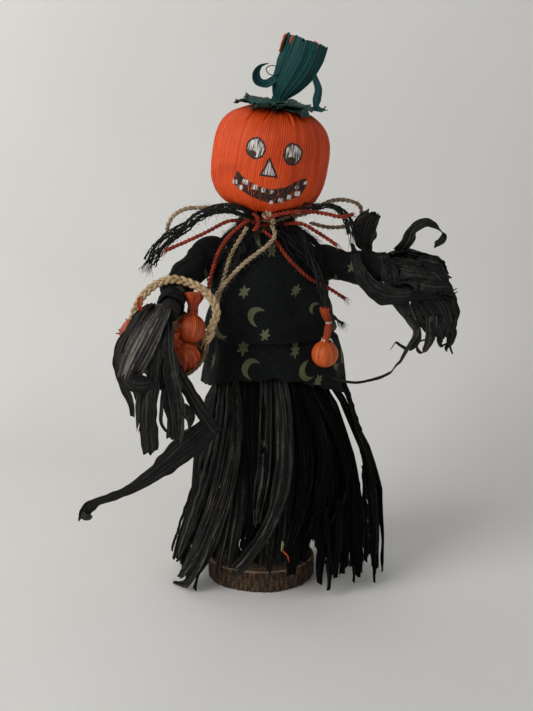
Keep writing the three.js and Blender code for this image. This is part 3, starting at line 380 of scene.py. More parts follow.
def spread(tree, value, low, high, newLow=0.0, newHigh=1.0):
    made = node(tree, "ShaderNodeMapRange", {0: value, 1: low, 2: high, 3: newLow, 4: newHigh},
                interpolation_type="SMOOTHSTEP")
    return made.outputs[0]


def stretched(tree, vector, scale):
    return node(tree, "ShaderNodeVectorMath", {0: vector, 1: scale}, operation="MULTIPLY").outputs[0]


def noiseOf(tree, vector, scale, detail=3.0, roughness=0.55):
    made = node(tree, "ShaderNodeTexNoise",
                {"Vector": vector, "Scale": scale, "Detail": detail, "Roughness": roughness})
    return made.outputs[0]


def fibreNoise(tree, vector, stretch, detail=3.0, roughness=0.55):
    return noiseOf(tree, stretched(tree, vector, stretch), 1.0, detail, roughness)


def weighted(tree, *terms):
    total, *rest = [maths(tree, "MULTIPLY", value, share) for value, share in terms]
    for term in rest:
        total = maths(tree, "ADD", total, term)
    return total


def storedValue(tree, name):
    return node(tree, "ShaderNodeAttribute", attribute_name=name).outputs["Fac"]


# Husk grain: long fibres along the leaf, with the UV map in millimetres
def makeHuskGrain():
    group, given, result = newGroup(
        "huskGrain", [("Map", "NodeSocketVector", None), ("Place", "NodeSocketVector", None)],
        [("Shade", "NodeSocketFloat"), ("Blotch", "NodeSocketFloat"), ("Height", "NodeSocketFloat")])
    flat, place = given.outputs["Map"], given.outputs["Place"]
    ribs = fibreNoise(group, flat, (1.0, 0.012, 1), 2.5)
    fibres = fibreNoise(group, flat, (2.6, 0.05, 1), 2.5)
    nicks = fibreNoise(group, flat, (1.4, 0.5, 1))
    lines = node(group, "ShaderNodeTexWave", {
        "Vector": stretched(group, flat, (1, 0.02, 1)),
        "Scale": 0.27, "Distortion": 7.0, "Detail": 3.0, "Detail Scale": 0.3},
                 wave_type="BANDS", bands_direction="X").outputs["Fac"]
    blotch = noiseOf(group, place, 55.0, 3.0)
    shade = weighted(group, (ribs, 0.45), (fibres, 0.35), (nicks, 0.12), (lines, 0.08))
    height = weighted(group, (ribs, 0.9), (fibres, 0.5), (lines, 0.4))
    group.links.new(spread(group, shade, 0.34, 0.66), result.inputs["Shade"])
    group.links.new(spread(group, blotch, 0.3, 0.7), result.inputs["Blotch"])
    group.links.new(height, result.inputs["Height"])
    return group


huskGrain = makeHuskGrain()


def newMaterial(name):
    material = bpy.data.materials.new(name)
    material.use_nodes = True
    tree = material.node_tree
    shader = tree.nodes["Principled BSDF"]
    coordinates = node(tree, "ShaderNodeTexCoord")
    return material, tree, shader, coordinates.outputs["UV"], coordinates.outputs["Object"]


def finish(tree, shader, colour, height=None, depth=0.0003, strength=0.6, **values):
    tree.links.new(colour, shader.inputs["Base Color"])
    if height is not None:
        bump = node(tree, "ShaderNodeBump", {"Height": height, "Distance": depth, "Strength": strength})
        tree.links.new(bump.outputs[0], shader.inputs["Normal"])
    for key, value in values.items():
        shader.inputs[key.replace("_", " ")].default_value = value


def grainOf(tree, flat, place):
    made = node(tree, "ShaderNodeGroup", node_tree=huskGrain)
    tree.links.new(flat, made.inputs["Map"])
    tree.links.new(place, made.inputs["Place"])
    return made.outputs["Shade"], made.outputs["Blotch"], made.outputs["Height"]


def huskMaterial(name, stops, blotchStops, rough=(0.5, 0.75), depth=0.0003, specular=0.5, coarse=1.0):
    material, tree, shader, flat, place = newMaterial(name)
    shade, blotch, height = grainOf(tree, stretched(tree, flat, (coarse, 1, 1)), place)
    colour = colourRamp(tree, shade, stops)
    tint = colourRamp(tree, blotch, blotchStops)
    colour = mixColour(tree, 1.0, colour, tint, "MULTIPLY")
    tree.links.new(spread(tree, shade, 0, 1, rough[0], rough[1]), shader.inputs["Roughness"])
    finish(tree, shader, colour, height, depth, 0.8, Specular_IOR_Level=specular)
    return material


# Yarn: short fibres that run along the ply
def yarnMaterial(name, stops, rough, sheen=0.3):
    material, tree, shader, flat, place = newMaterial(name)
    fibres = fibreNoise(tree, flat, (3.2, 0.5, 1))
    shade = weighted(tree, (fibres, 0.65), (noiseOf(tree, place, 160.0, 2.0), 0.35))
    colour = colourRamp(tree, spread(tree, shade, 0.33, 0.67), stops)
    finish(tree, shader, colour, fibres, 0.00015, 0.7, Roughness=rough, Sheen_Weight=sheen, Specular_IOR_Level=0.3)
    return material


dullTint = [(0, (0.5, 0.49, 0.49)), (0.6, (1, 0.98, 0.95)), (1, (1.0, 0.95, 0.89))]
darkHusks = {
    "blackHusk": ([(0, (0.001, 0.001, 0.001)), (0.4, (0.0042, 0.0042, 0.0042)), (0.74, (0.0155, 0.0152, 0.0146)),
                   (1, (0.055, 0.053, 0.049))], 0.16),
    "greyHusk": ([(0, (0.0028, 0.0028, 0.0028)), (0.4, (0.0125, 0.0122, 0.012)), (0.74, (0.052, 0.0495, 0.0455)),
                  (1, (0.18, 0.17, 0.152))], 0.2),
    "paleHusk": ([(0, (0.004, 0.0038, 0.0036)), (0.36, (0.02, 0.0188, 0.0175)), (0.7, (0.08, 0.0745, 0.068)),
                  (1, (0.26, 0.24, 0.215))], 0.2),
    "skirtHusk": ([(0, (0.0006, 0.0006, 0.0006)), (0.42, (0.0022, 0.0022, 0.0021)), (0.75, (0.0105, 0.0104, 0.0098)),
                   (1, (0.062, 0.06, 0.055))], 0.09),
    "skirtGrey": ([(0, (0.0014, 0.0014, 0.0014)), (0.42, (0.0065, 0.0064, 0.0062)), (0.75, (0.032, 0.031, 0.0285)),
                   (1, (0.125, 0.118, 0.106))], 0.12),
    # The darkest husk: besides darker leaves of the hands, it is painted shade on the skirt's +x side, away from the
    # window light, and on the inner ring of skirt leaves.
    "darkestHuskAndShade": ([(0, (0.0004, 0.0004, 0.0004)), (0.5, (0.0011, 0.0011, 0.001)), (0.8, (0.0034, 0.0033, 0.0029)),
                 (1, (0.02, 0.0185, 0.015))], 0.035),
}
blackHusk, greyHusk, paleHusk, skirtHusk, skirtGrey, darkestHuskAndShade = [
    huskMaterial(name, stops, dullTint, rough=(0.42, 0.7), depth=0.0009, specular=shine, coarse=0.5)
    for name, (stops, shine) in darkHusks.items()]
handHusks = [blackHusk, greyHusk, darkestHuskAndShade, paleHusk]
skirtHusks = [skirtHusk, skirtGrey, darkestHuskAndShade]
tealHusk = huskMaterial(
    "tealHusk", [(0, (0.001, 0.012, 0.014)), (0.4, (0.0025, 0.042, 0.044)), (0.8, (0.006, 0.084, 0.08)),
                 (1, (0.02, 0.14, 0.125))],
    [(0, (0.55, 0.6, 0.64)), (0.5, (0.95, 0.97, 0.97)), (1, (1, 1, 0.97))],
    rough=(0.45, 0.65), depth=0.0004, specular=0.2)
crownHusk = huskMaterial(
    "crownHusk", [(0, (0.0015, 0.013, 0.014)), (0.4, (0.004, 0.042, 0.04)), (0.75, (0.014, 0.085, 0.072)),
                  (1, (0.09, 0.19, 0.14))],
    [(0, (0.5, 0.6, 0.6)), (0.5, (0.9, 0.95, 0.92)), (1, (1, 1, 0.9))],
    rough=(0.45, 0.65), depth=0.0004, specular=0.25)
orangeHusk = huskMaterial(
    "orangeHusk", [(0, (0.26, 0.032, 0.004)), (0.4, (0.52, 0.082, 0.01)), (0.8, (0.64, 0.122, 0.018)),
                   (1, (0.72, 0.2, 0.05))],
    [(0, (0.78, 0.66, 0.58)), (0.5, (1, 0.96, 0.92)), (1, (1, 1, 0.96))],
    rough=(0.36, 0.55), depth=0.00025, specular=0.35)
basketHusk = huskMaterial(
    "basketHusk", [(0, (0.13, 0.012, 0.002)), (0.4, (0.42, 0.052, 0.006)), (0.8, (0.58, 0.092, 0.012)),
                   (1, (0.72, 0.19, 0.035))],
    [(0, (0.72, 0.58, 0.5)), (0.5, (1, 0.95, 0.9)), (1, (1, 1, 0.95))], rough=(0.32, 0.5), depth=0.0003, specular=0.4)
liningHusk = huskMaterial(
    "liningHusk", [(0, (0.3, 0.045, 0.016)), (0.5, (0.6, 0.11, 0.035)), (1, (0.72, 0.2, 0.07))],
    [(0, (0.75, 0.65, 0.6)), (1, (1, 1, 1))])
braidHusk = huskMaterial(
    "braidHusk", [(0, (0.27, 0.18, 0.085)), (0.35, (0.48, 0.35, 0.19)), (0.75, (0.64, 0.5, 0.31)),
                  (1, (0.77, 0.64, 0.43))],
    [(0, (0.72, 0.64, 0.52)), (0.5, (1, 0.97, 0.92)), (1, (1, 1, 1))], rough=(0.5, 0.75))
bowlHusk = huskMaterial(
    "bowlHusk", [(0, (0.06, 0.035, 0.016)), (0.4, (0.14, 0.088, 0.043)), (0.8, (0.25, 0.17, 0.09)),
                 (1, (0.38, 0.28, 0.16))],
    [(0, (0.6, 0.55, 0.5)), (0.5, (1, 0.97, 0.92)), (1, (1, 1, 0.95))], rough=(0.55, 0.8), specular=0.25)
rawHusk = huskMaterial(
    "rawHusk", [(0, (0.3, 0.23, 0.12)), (0.5, (0.5, 0.41, 0.25)), (1, (0.66, 0.57, 0.4))],
    [(0, (0.8, 0.75, 0.68)), (1, (1, 1, 1))])
juteYarn = yarnMaterial("juteYarn", [(0, (0.15, 0.1, 0.052)), (0.45, (0.32, 0.228, 0.13)), (1, (0.58, 0.46, 0.3))],
                        0.85, sheen=0.1)
orangeYarn = yarnMaterial("orangeYarn", [(0, (0.045, 0.005, 0.003)), (0.5, (0.23, 0.02, 0.006)),
                                         (1, (0.47, 0.065, 0.016))], 0.75, sheen=0.02)
blackYarn = yarnMaterial("blackYarn", [(0, (0.001, 0.001, 0.0012)), (0.6, (0.0033, 0.0034, 0.0035)),
                                       (1, (0.022, 0.0225, 0.022))], 0.8, sheen=0.01)
wrapHusk = huskMaterial(
    "wrapHusk", [(0, (0.12, 0.016, 0.005)), (0.45, (0.36, 0.05, 0.014)), (0.8, (0.5, 0.085, 0.024)),
                 (1, (0.62, 0.16, 0.05))],
    [(0, (0.7, 0.6, 0.55)), (1, (1, 1, 1))], depth=0.0005, specular=0.25)
threadYarn = yarnMaterial("threadYarn", [(0, (0.42, 0.39, 0.32)), (1, (0.78, 0.75, 0.67))], 0.7)


# Cords: the CAD model's routes, with each cord's plies, fuzz and frayed end

cordTable = {
    "jute_tail_short": [(-7.2, -18.2, 231.8), (-10, -18.4, 227), (-13.4, -18.2, 221.5), (-16.8, -18.2, 215),
                        (-19.2, -18.6, 208), (-21.4, -19, 200), (-23.2, -19.6, 193.5), (-24.8, -20, 187.5)],
    "jute_tail_long": [(7.1, -18.2, 232.9), (8.8, -20.4, 227.5), (5.4, -21.4, 222.4), (0.2, -22, 218.4),
                       (-7.2, -22.4, 212.8), (-14, -23, 206.6), (-19.4, -23.6, 200.4), (-24, -23.4, 194.6),
                       (-27, -22.8, 189.6)],
    "jute_loop_left": [(-9.5, -7, 235.9), (-20, -6.6, 240), (-33, -7, 241.2), (-44, -5, 240), (-51, -3, 235.6),
                       (-54.2, -2, 230), (-55, -1, 224.6)],
    "jute_loop_right": [(19, -4.8, 235.4), (29, -1, 237.4), (42, 2, 243.6), (52, 5, 243.6), (60, 8, 239.4),
                        (60, 10, 232), (52, 10, 227.4), (41, 8, 227), (30, 6, 230)],
    "orange_tail_left": [(-5.6, -18.4, 236.2), (-11, -17.8, 232.6), (-18, -17.4, 226), (-23.4, -18.2, 218),
                         (-26.6, -19.4, 209.6), (-28.8, -20.4, 202), (-30.2, -20.8, 195)],
    "orange_strand_left": [(-6.5, -11.2, 232.8), (-12.4, -13.6, 234.8), (-18.6, -14.6, 234.4), (-30.4, -16, 228.6),
                           (-39.6, -17, 224.4), (-48.6, -18, 220.6), (-54.6, -19, 218.2)],
    "orange_tail_right": [(1.9, -15.9, 229.7), (9, -17.4, 224), (15, -20.2, 216), (25.2, -21.6, 205.4),
                          (33, -19.4, 199.6), (41, -17, 195), (50.4, -15, 188.6)],
    "orange_loop_right": [(3, -18, 236.4), (10, -22.4, 239.6), (19, -23, 241.4), (28, -21, 241.2), (38, -18.6, 239.6),
                          (47, -18.4, 237.8), (53.6, -18.8, 239.4)],
    "orange_strand_right": [(13.5, -12.8, 232.7), (17.6, -15.6, 233.6), (24.6, -17, 233.4), (33.4, -17.4, 228.6),
                            (44.6, -17.4, 221.2)],
    "black_bundle_left": [(-5, -15, 237), (-11, -19, 241.4), (-20, -18.6, 242.6), (-30, -15.6, 240.4),
                          (-37, -13.4, 236.4), (-42.4, -12, 231.4), (-49.8, -12.4, 226.8), (-55.4, -13, 222.4),
                          (-60, -13.6, 217.2), (-64.6, -15, 210.2)],
    "black_bundle_right": [(9, -15, 236.6), (14, -19.4, 240.4), (23, -19.4, 242.6), (33, -17, 243.4),
                           (41, -14.6, 243.2), (47, -14, 240.6), (51.4, -14, 234.6), (53.8, -14.4, 227.6)],
    "black_hanging": [(17.5, -8.4, 232.2), (23.6, -12, 227), (28, -16.4, 218.6), (31.6, -20.4, 209.4),
                      (34.8, -25.2, 202.2), (37.2, -29.8, 195), (38, -31.3, 188.5)],
}
cordKinds = {
    "jute": {"radius": 1.3, "material": juteYarn, "slot": "jute", "pitch": 6.2, "fuzz": 2.2, "fuzzLength": 3.2,
             "hair": 0.055, "frayed": (18, 5)},
    "orange": {"radius": 1.2, "material": orangeYarn, "slot": "orange_yarn", "pitch": 5.0, "fuzz": 0.8,
               "fuzzLength": 1.8, "hair": 0.06, "frayed": (18, 5)},
    "black": {"radius": 2.6, "material": blackYarn, "slot": "black_yarn", "fuzz": 3.6, "fuzzLength": 5.4,
              "hair": 0.075, "frayed": (46, 8)},
}
fuzzShapes = {kind: Shape() for kind in cordKinds}


# Loose black strands: each keeps its own place in the bundle and wanders
def addStrands(shape, points, radius, count, thick, seed, wander, flare=1.5):
    _, side, normal = easyFrames(points)
    travelled = lengthsAlong(points)
    share = travelled / travelled[-1]
    for i in range(count):
        turn = 2 * np.pi * i / count + travelled / 16 + 0.8 * roughLine(travelled / 17, seed * 7 + i)
        reach = radius * (0.9 + wander * roughLine(travelled / 11, seed * 11 + i * 3)) * np.interp(
            share, [0, 0.12, 0.6, 1], [0.7, 1, 1.05, flare])
        line = shaken(points + reach[:, None] * spoke(side, normal, turn), travelled / 1.7, 0.42, seed * 5 + i * 3)
        addYarn(shape, line, thick * (1 + 0.25 * math.sin(3.7 * i)), 2, 3.6, i + seed, 5)


def makeCord(name, seed):
    kind = name.split("_")[0]
    facts = cordKinds[kind]
    radius = 1.9 if name in ("black_hanging", "black_bundle_right") else facts["radius"]
    route = cordTable[name]
    shape = Shape()
    points, _, travelled = evenPath(route, 0.6)
    if kind == "black":
        wander, flare = (0.6, 1.0) if name == "black_hanging" else (0.32, 1.5)
        addStrands(shape, points, radius, 12 if radius > 2 else 6, 0.5, seed, wander, flare)
        addStrands(shape, points, radius * 0.5, 3, 0.5, seed + 40, wander)
    else:
        addYarn(shape, points, radius, 2, facts["pitch"], seed * 1.3)
    cord = shape.build("yarn_" + name, facts["material"], "doll", facts["slot"], name)
    joined = name in ("black_hanging", "jute_loop_right")
    fuzz = fuzzShapes[kind]
    density = 1.4 if name == "black_hanging" else facts["fuzz"]
    fuzzAlong(fuzz, points, radius, density, facts["fuzzLength"], facts["hair"], seed * 10 + 1)
    if not joined:
        fraySpray(fuzz, points, radius, *facts["frayed"], facts["hair"] * 1.9, seed * 10 + 3, spread=0.5)


for index, name in enumerate(cordTable):
    makeCord(name, index + 1)
print("cords", len(cordTable))


# Signed distances to flat outlines, in millimetres: negative inside

def outlineDistance(x, y, outline):
    corners = np.array(outline, float)
    nearest = np.full(x.shape, 1e9)
    inside = np.zeros(x.shape, bool)
    for (ax, ay), (bx, by) in zip(corners, np.roll(corners, -1, axis=0)):
        ex, ey = bx - ax, by - ay
        wx, wy = x - ax, y - ay
        share = np.clip((wx * ex + wy * ey) / (ex * ex + ey * ey), 0, 1)
        nearest = np.minimum(nearest, np.hypot(wx - ex * share, wy - ey * share))
        crosses = ((ay > y) != (by > y)) & (x < (bx - ax) * (y - ay) / (by - ay + 1e-12) + ax)
        inside ^= crosses
    return np.where(inside, -nearest, nearest)


def roughOval(left, right, low, high, seed, count=22, wobble=0.07):
    angle = np.arange(count) * 2 * np.pi / count
    size = 1 + wobble * roughLine(angle * 1.7, seed)
    cx, cy = (left + right) / 2, (low + high) / 2
    return np.stack([cx + (right - left) / 2 * size * np.sin(angle), cy + (high - low) / 2 * size * np.cos(angle)],
                    axis=1)


def tiltedSquare(cx, cy, size, turn):
    angle = np.radians([45, 135, 225, 315]) + turn
    return np.stack([cx + size * 0.7 * np.cos(angle), cy + size * 0.62 * np.sin(angle)], axis=1)


# Face, as painted on the husk: places in millimetres from the head's centre.
# An eye or pupil is (left, right, low, high), and a tooth is its middle.
face = {
    "eyes": [(-14.7, -4.2, 2.9, 14.4), (6.3, 16.6, 2.7, 14.3)],
    "pupils": [(-13.2, -8.4, 3.2, 7.3), (8.8, 13.8, 3.0, 7.0)],
    "nose": [(-1.1, 5.2), (-5.0, -5.7), (5.3, -5.5)],
    "mouthUpper": [(-17.6, -5.6), (-14, -8.7), (-5.4, -12.1), (2.8, -12.8), (10.5, -10.5), (17.8, -5.3),
                   (20.8, -4.5)],
    "mouthLower": [(-19.2, -12.6), (-13.8, -15.7), (-8.6, -18), (-1.8, -19.8), (5.7, -20.4), (12.6, -17.7),
                   (19.4, -14), (22, -7.9)],
    "teeth": [(-18.1, -12), (-14.8, -14.5), (-12.1, -10.9), (-6.5, -12.7), (-1.9, -13.6), (3, -14), (16.8, -9.4),
              (21, -6.8), (4, -20.1), (8.9, -18.1), (13.5, -15.7), (17.5, -13.3)],
}


def paintFace(x, z):
    eyes = [outlineDistance(x, z, roughOval(*eye, 3 + i)) for i, eye in enumerate(face["eyes"])]
    pupils = [outlineDistance(x, z, roughOval(*pupil, 7 + i)) for i, pupil in enumerate(face["pupils"])]
    nose = outlineDistance(x, z, face["nose"])
    mouth = outlineDistance(x, z, face["mouthUpper"] + face["mouthLower"][::-1])
    teeth = [outlineDistance(x, z, tiltedSquare(cx, cz, 2.6 + 0.6 * math.sin(7 * i), 0.3 * math.sin(3.1 * i)))
             for i, (cx, cz) in enumerate(face["teeth"])]
    ink = np.minimum.reduce([*[eye - 0.3 for eye in eyes], nose - 0.15, mouth - 0.3])
    white = np.minimum.reduce([*[eye + 0.75 for eye in eyes], nose + 0.95, *teeth])
    return ink, white, np.minimum.reduce(pupils), mouth


# Head: a squarish ball of husk, drawn in under the leaves on top

headCentre = np.array([6.0, 0.0, 268.0])
headHalf = (33.7, 32.0, 30.0)
headTilt = math.radians(9)
headOpening = 11
headSkin = 1.2
squareness = 0.64


def fromHead(local):
    x, y, z = local[..., 0], local[..., 1], local[..., 2]
    return headCentre + together(
        x * math.cos(headTilt) + z * math.sin(headTilt), y, -x * math.sin(headTilt) + z * math.cos(headTilt))


def headSurface(angle, polar, outward=0.0):
    flat = np.sin(polar) ** squareness
    rise = np.sign(np.cos(polar)) * np.abs(np.cos(polar)) ** np.where(np.cos(polar) > 0, 0.68, 0.76)
    a, b, c = (half + outward for half in headHalf)
    return together(a * flat * np.sin(angle), -b * flat * np.cos(angle), c * rise)


def headRelief(angle, polar):
    top = rampUp(polar, 1.15, 0.1)
    low = rampUp(polar, 2.2, 3.0)
    wave = angle * 30 / (2 * np.pi)
    pleats = 0.45 * roughSheet(wave * 1.0, polar * 0.5) + 0.25 * roughSheet(wave * 2.3, polar * 0.8 + 5)
    creases = -2.0 * np.clip(roughSheet(angle * 26 / (2 * np.pi) + 3, polar * 0.35) - 0.25, 0, 1) ** 0.8
    ribs = 0.16 * np.sin(angle * 150 + 2.5 * roughSheet(angle * 4, polar * 1.5)) * rampUp(
        roughSheet(angle * 1.2 + 2.2, polar * 0.6), -0.5, 0.3)
    edges = 0
    for place, height in ((0.78, 0.95), (-0.33, 0.25), (2.1, 0.4), (-1.45, 0.4), (-2.6, 0.45), (1.5, 0.3)):
        line = place + 0.05 * roughLine(polar * 2, int(place * 10) + 30)
        turn = np.angle(np.exp(1j * (angle - line)))
        edges = edges + height * np.exp(-np.clip(turn, 0, None) * 7) * (turn > 0) * rampUp(polar, 3.0, 2.0)
    return pleats * (0.35 + 0.9 * top + 1.3 * low) + creases * (0.15 + 1.1 * top + low) + ribs + edges * 0.8


# Deep creases: angle round the head, polar angle from and to, depth
headCreases = [(0.86, 1.5, 3.0, 0.9), (-0.62, 0.35, 0.85, 1.0), (-0.25, 0.3, 0.75, 0.7), (1.25, 0.5, 2.6, 0.6),
               (-1.2, 0.6, 2.7, 0.6), (0.3, 0.3, 0.7, 0.7), (2.1, 0.4, 2.8, 0.8), (-2.3, 0.4, 2.8, 0.8),
               (3.0, 0.5, 2.5, 0.7)]


def headFolds(angle, polar):
    lift = 0
    for i, (turn, start, end, depth) in enumerate(headCreases):
        off = angle - turn - 0.04 * roughSheet(polar * 2.2, i * 3.7)
        along = rampUp(polar, start - 0.2, start + 0.15) * rampUp(polar, end + 0.2, end - 0.15)
        lift = lift + 1.5 * depth * along * (0.6 * np.exp(-((off - 0.05) / 0.045) ** 2) - np.exp(-(off / 0.03) ** 2))
    return lift


def makeHead():
    opening = math.pi - math.asin((headOpening / headHalf[0]) ** 1.56)
    angle, polar = np.broadcast_arrays(ringAngles(512, -np.pi), np.linspace(0.06, opening, 190)[:, None])
    outer = headSurface(angle, polar)
    outer = outer + unit(outer) * (headRelief(angle, polar) + headFolds(angle, polar))[..., None]
    inner = headSurface(angle[::4], polar[::4], -headSkin)[::-1]
    ink, white, pupil, mouth = paintFace(outer[..., 0], outer[..., 2])
    back = outer[..., 1] > -3
    far = lambda field: np.where(back, farOutside, np.clip(field, -farOutside, farOutside))
    uv = together(angle * 33, polar * 31)
    shape = Shape()
    whole = lambda field: np.concatenate([far(field), np.full(inner.shape[:2], farOutside)])
    shape.grid(fromHead(np.concatenate([outer, inner])), np.concatenate([uv, uv[::4][::-1]]), wrap=True, loop=True,
               ink=whole(ink), white=whole(white), pupil=whole(pupil), mouth=whole(mouth))
    return shape


def faceMaterial():
    material, tree, shader, flat, place = newMaterial("paintedHusk")
    shade, blotch, height = grainOf(tree, flat, place)
    husk = colourRamp(tree, shade,
                      [(0, (0.52, 0.045, 0.006)), (0.35, (0.655, 0.066, 0.0085)), (0.75, (0.71, 0.08, 0.011)),
                       (1, (0.78, 0.13, 0.028))])
    husk = mixColour(tree, 1.0, husk,
                     colourRamp(tree, blotch, [(0, (0.84, 0.72, 0.62)), (0.5, (1, 0.96, 0.94)), (1, (1, 1, 1))]),
                     "MULTIPLY")
    brush = fibreNoise(tree, flat, (2.0, 0.35, 1))
    ragged = maths(tree, "MULTIPLY_ADD", brush, 1.5, -0.75)
    dry = spread(tree, fibreNoise(tree, flat, (1.5, 0.16, 1)), 0.36, 0.44)
    edge = lambda name: spread(tree, maths(tree, "ADD", storedValue(tree, name), ragged), 0.18, -0.18)
    paintedDark = maths(tree, "MULTIPLY", edge("ink"),
                  maths(tree, "MAXIMUM", dry, spread(tree, storedValue(tree, "mouth"), 0.4, 0.8)))
    ink = colourRamp(tree, brush, [(0.3, (0.008, 0.006, 0.006)), (0.7, (0.03, 0.02, 0.016))])
    scratch = spread(tree, fibreNoise(tree, flat, (1.7, 0.14, 1), 4.0), 0.44, 0.56)
    white = colourRamp(tree, scratch, [(0, (0.1, 0.06, 0.055)), (0.35, (0.34, 0.29, 0.27)), (0.75, (0.66, 0.63, 0.6)),
                                       (1, (0.76, 0.74, 0.7))])
    colour = mixColour(tree, paintedDark, husk, ink)
    colour = mixColour(tree, edge("white"), colour, white)
    brown = colourRamp(tree, brush, [(0.3, (0.02, 0.008, 0.005)), (0.7, (0.075, 0.03, 0.018))])
    colour = mixColour(tree, edge("pupil"), colour, brown)
    finish(tree, shader, colour, height, 0.0003, 0.7, Roughness=0.5, Specular_IOR_Level=0.25)
    return material


head = makeHead().build("headBall", faceMaterial(), "doll", "orange_husk", "head_husk")
print("head")


# Leaves of husk

def wholeLeaf(tip=0.5):
    return [(-0.5, 0.5, 1, 0, 0, tip)]


# A leaf is a thin slab along a route. Its hints point across it, and the widths go with the route's points.
# Each split is (from, to, end, drift, lift, tip): a sliver of the leaf with its own end.
def addLeaf(shape, route, hints, widths, splits=tuple(wholeLeaf()), thickness=0.5, waves=(1, 0.5),
            splitAt=0.5, ragged=0.25, seed=1, spacing=1.2, cup=0.0, column=0.8, slot=0, crumple=0.0, tear=1.6):
    for index, (low, high, end, drift, lift, tip) in enumerate(splits):
        points, shares, travelled = evenPath(route, spacing, end)
        along = tangentsOf(points)
        side = valuesAlong(hints, shares)
        side = unit(side - np.sum(side * along, axis=1, keepdims=True) * along)
        normal = np.cross(along, side)
        width = valuesAlong(widths, shares)
        number = seed * 13 + index * 5
        free = rampUp(shares, splitAt * end, end)
        closing = 1 - (1 - tip) * rampUp(shares, end - 0.34, end) ** 1.3
        middle = (low + high) / 2 + drift * free + 0.03 * roughLine(travelled / 14, number)
        half = (high - low) / 2 * closing * (1 + 0.12 * roughLine(travelled / 5, number + 1) * ragged * 4)
        count = max(4, int(round((high - low) * max(widths) / column)))
        u = np.linspace(-1, 1, count)[None, :]
        across = middle[:, None] + half[:, None] * u
        waveCount, waveDepth = waves
        bend = waveDepth * np.cos(2 * np.pi * waveCount * np.clip(across, -0.6, 0.6))
        folds = 0.3 * waveDepth * roughSheet(across * width[:, None] / 2.6, travelled[:, None] / 30 + number)
        folds = folds + 0.2 * roughSheet(across * max(widths) / 1.15 + number, travelled[:, None] / 50)
        cupped = (cup * (u ** 2) * (half * width)[:, None] + lift * free[:, None] ** 1.5 * width[:, None])
        drape = 0.25 * roughSheet(travelled[:, None] / 9, across * 2 + number) * min(2.0, waveDepth + 0.5)
        height = bend + folds + cupped + drape
        flat = across * width[:, None]
        if crumple:
            ridges = 1 - 2 * np.abs(roughSheet(flat / 6.5 + number, travelled[:, None] / 7.5 + number * 1.3))
            ridges = ridges + 0.45 * (1 - 2 * np.abs(roughSheet(flat / 2.9 + travelled[:, None] / 6,
                                                                travelled[:, None] / 3.6)))
            height = height + crumple * ridges
        torn = tear * roughSheet(flat / 1.5 + number, number) * rampUp(shares, end - 4 / travelled[-1], end)[:, None]
        middlePoint = points[:, None] + side[:, None] * flat[..., None] + along[:, None] * torn[..., None]
        slim = thickness / 2 * (1 - 0.45 * np.abs(u) ** 3) * (1 - 0.5 * rampUp(shares, end - 0.05, end))[:, None]
        front = middlePoint + normal[:, None] * (height + slim)[..., None]
        behind = middlePoint + normal[:, None] * (height - slim)[..., None]
        ring = np.concatenate([front, behind[:, ::-1]], axis=1)
        place = together(across * max(widths) + number * 7, travelled[:, None])
        shape.grid(ring, np.concatenate([place, place[:, ::-1]], axis=1), wrap=True, slot=slot)


def sliverRow(count, seed, drift, lift, tip, overlap=0.1, short=0.12):
    random = np.random.RandomState(seed)
    edges = np.linspace(-0.5, 0.5, count + 1)
    edges = edges + np.concatenate([[0], random.uniform(-0.2, 0.2, count - 1) / count, [0]])
    return [(edges[i] - overlap / count / 2, edges[i + 1] + overlap / count / 2, 1 - random.uniform(0, short),
             random.uniform(-drift, drift), random.uniform(-lift, lift), tip * random.uniform(0.5, 1.5))
            for i in range(count)]


# Stem: husk that fans out upward in folds, with its lining, and leaves round its foot

axisUp = np.array([math.sin(headTilt), 0, math.cos(headTilt)])
stemFoot = headCentre + axisUp * 31.4 + np.array([0, 0, 0.6])
stemHeight = 36.2
stemShares = [(0, 0, 0), (0.02, 0, 0.105), (0.1, 0, 0.271), (0.255, 0, 0.525), (0.377, 0, 0.768), (0.46, 0, 1)]
stemAcross = [5.2, 4.3, 8.2, 11.4, 12.2, 11.8]
stemDeep = [4.4, 3.8, 5, 5.4, 5.4, 5.2]


# Places given as shares of the stem's height from its foot
def stemPlaces(*shares):
    return [stemFoot + stemHeight * np.array(share) for share in shares]


stemRoute = stemPlaces(*stemShares)


# Points on the stem's oval wall, for shares of its height and an angle round it
def stemWall(shares, angle, inward):
    points = curvePoints(stemRoute, shares)
    along = tangentsOf(points)
    side = unit(np.cross((0, 1, 0), along))
    across = (valuesAlong(stemAcross, shares)[:, None] - inward) * np.sin(angle)
    deep = (valuesAlong(stemDeep, shares)[:, None] - inward) * np.cos(angle)
    return points + side * across + np.cross(along, side) * deep


def makeStem():
    shape = Shape()
    rows, columns = 70, 260
    angle = ringAngles(columns)
    ragged = 0.975 + 0.014 * roughSheet(angle * 4, 3.3) + 0.01 * roughSheet(angle * 16, 8.1) - 0.035 * (
        roughSheet(angle * 3.3, 1.7) > 0.5)
    outer, inner = np.zeros((2, rows, columns, 3))
    share = np.linspace(0, 1, rows)[:, None] * ragged
    gather = rampUp(share, 0.5, 0.1)
    folds = roughSheet(angle * 15 / (2 * np.pi) * 2, share * 1.3)
    creases = np.clip(roughSheet(angle * 11 / (2 * np.pi) * 2 + 7, share * 0.9 + 2) - 0.1, 0, 1)
    depth = 0.55 * folds - 1.7 * creases * (0.5 + 0.7 * gather) + 0.14 * np.sin(angle * 75)
    panel = np.exp(-((np.angle(np.exp(1j * (angle - np.pi - 0.95))) / 0.12) ** 2)) * rampUp(share, 0.1, 0.4)
    depth = depth - 3.0 * panel
    for column in range(columns):
        lift = depth[:, column][:, None]
        outer[:, column] = stemWall(share[:, column], angle[0, column], -lift)
        inner[:, column] = stemWall(share[:, column], angle[0, column], 0.6 - lift)
    shape.shell(outer, inner, together(angle * 9, share * 38))
    return shape


makeStem().build("stemHusk", tealHusk, "doll", "teal_husk", "stem_husk")


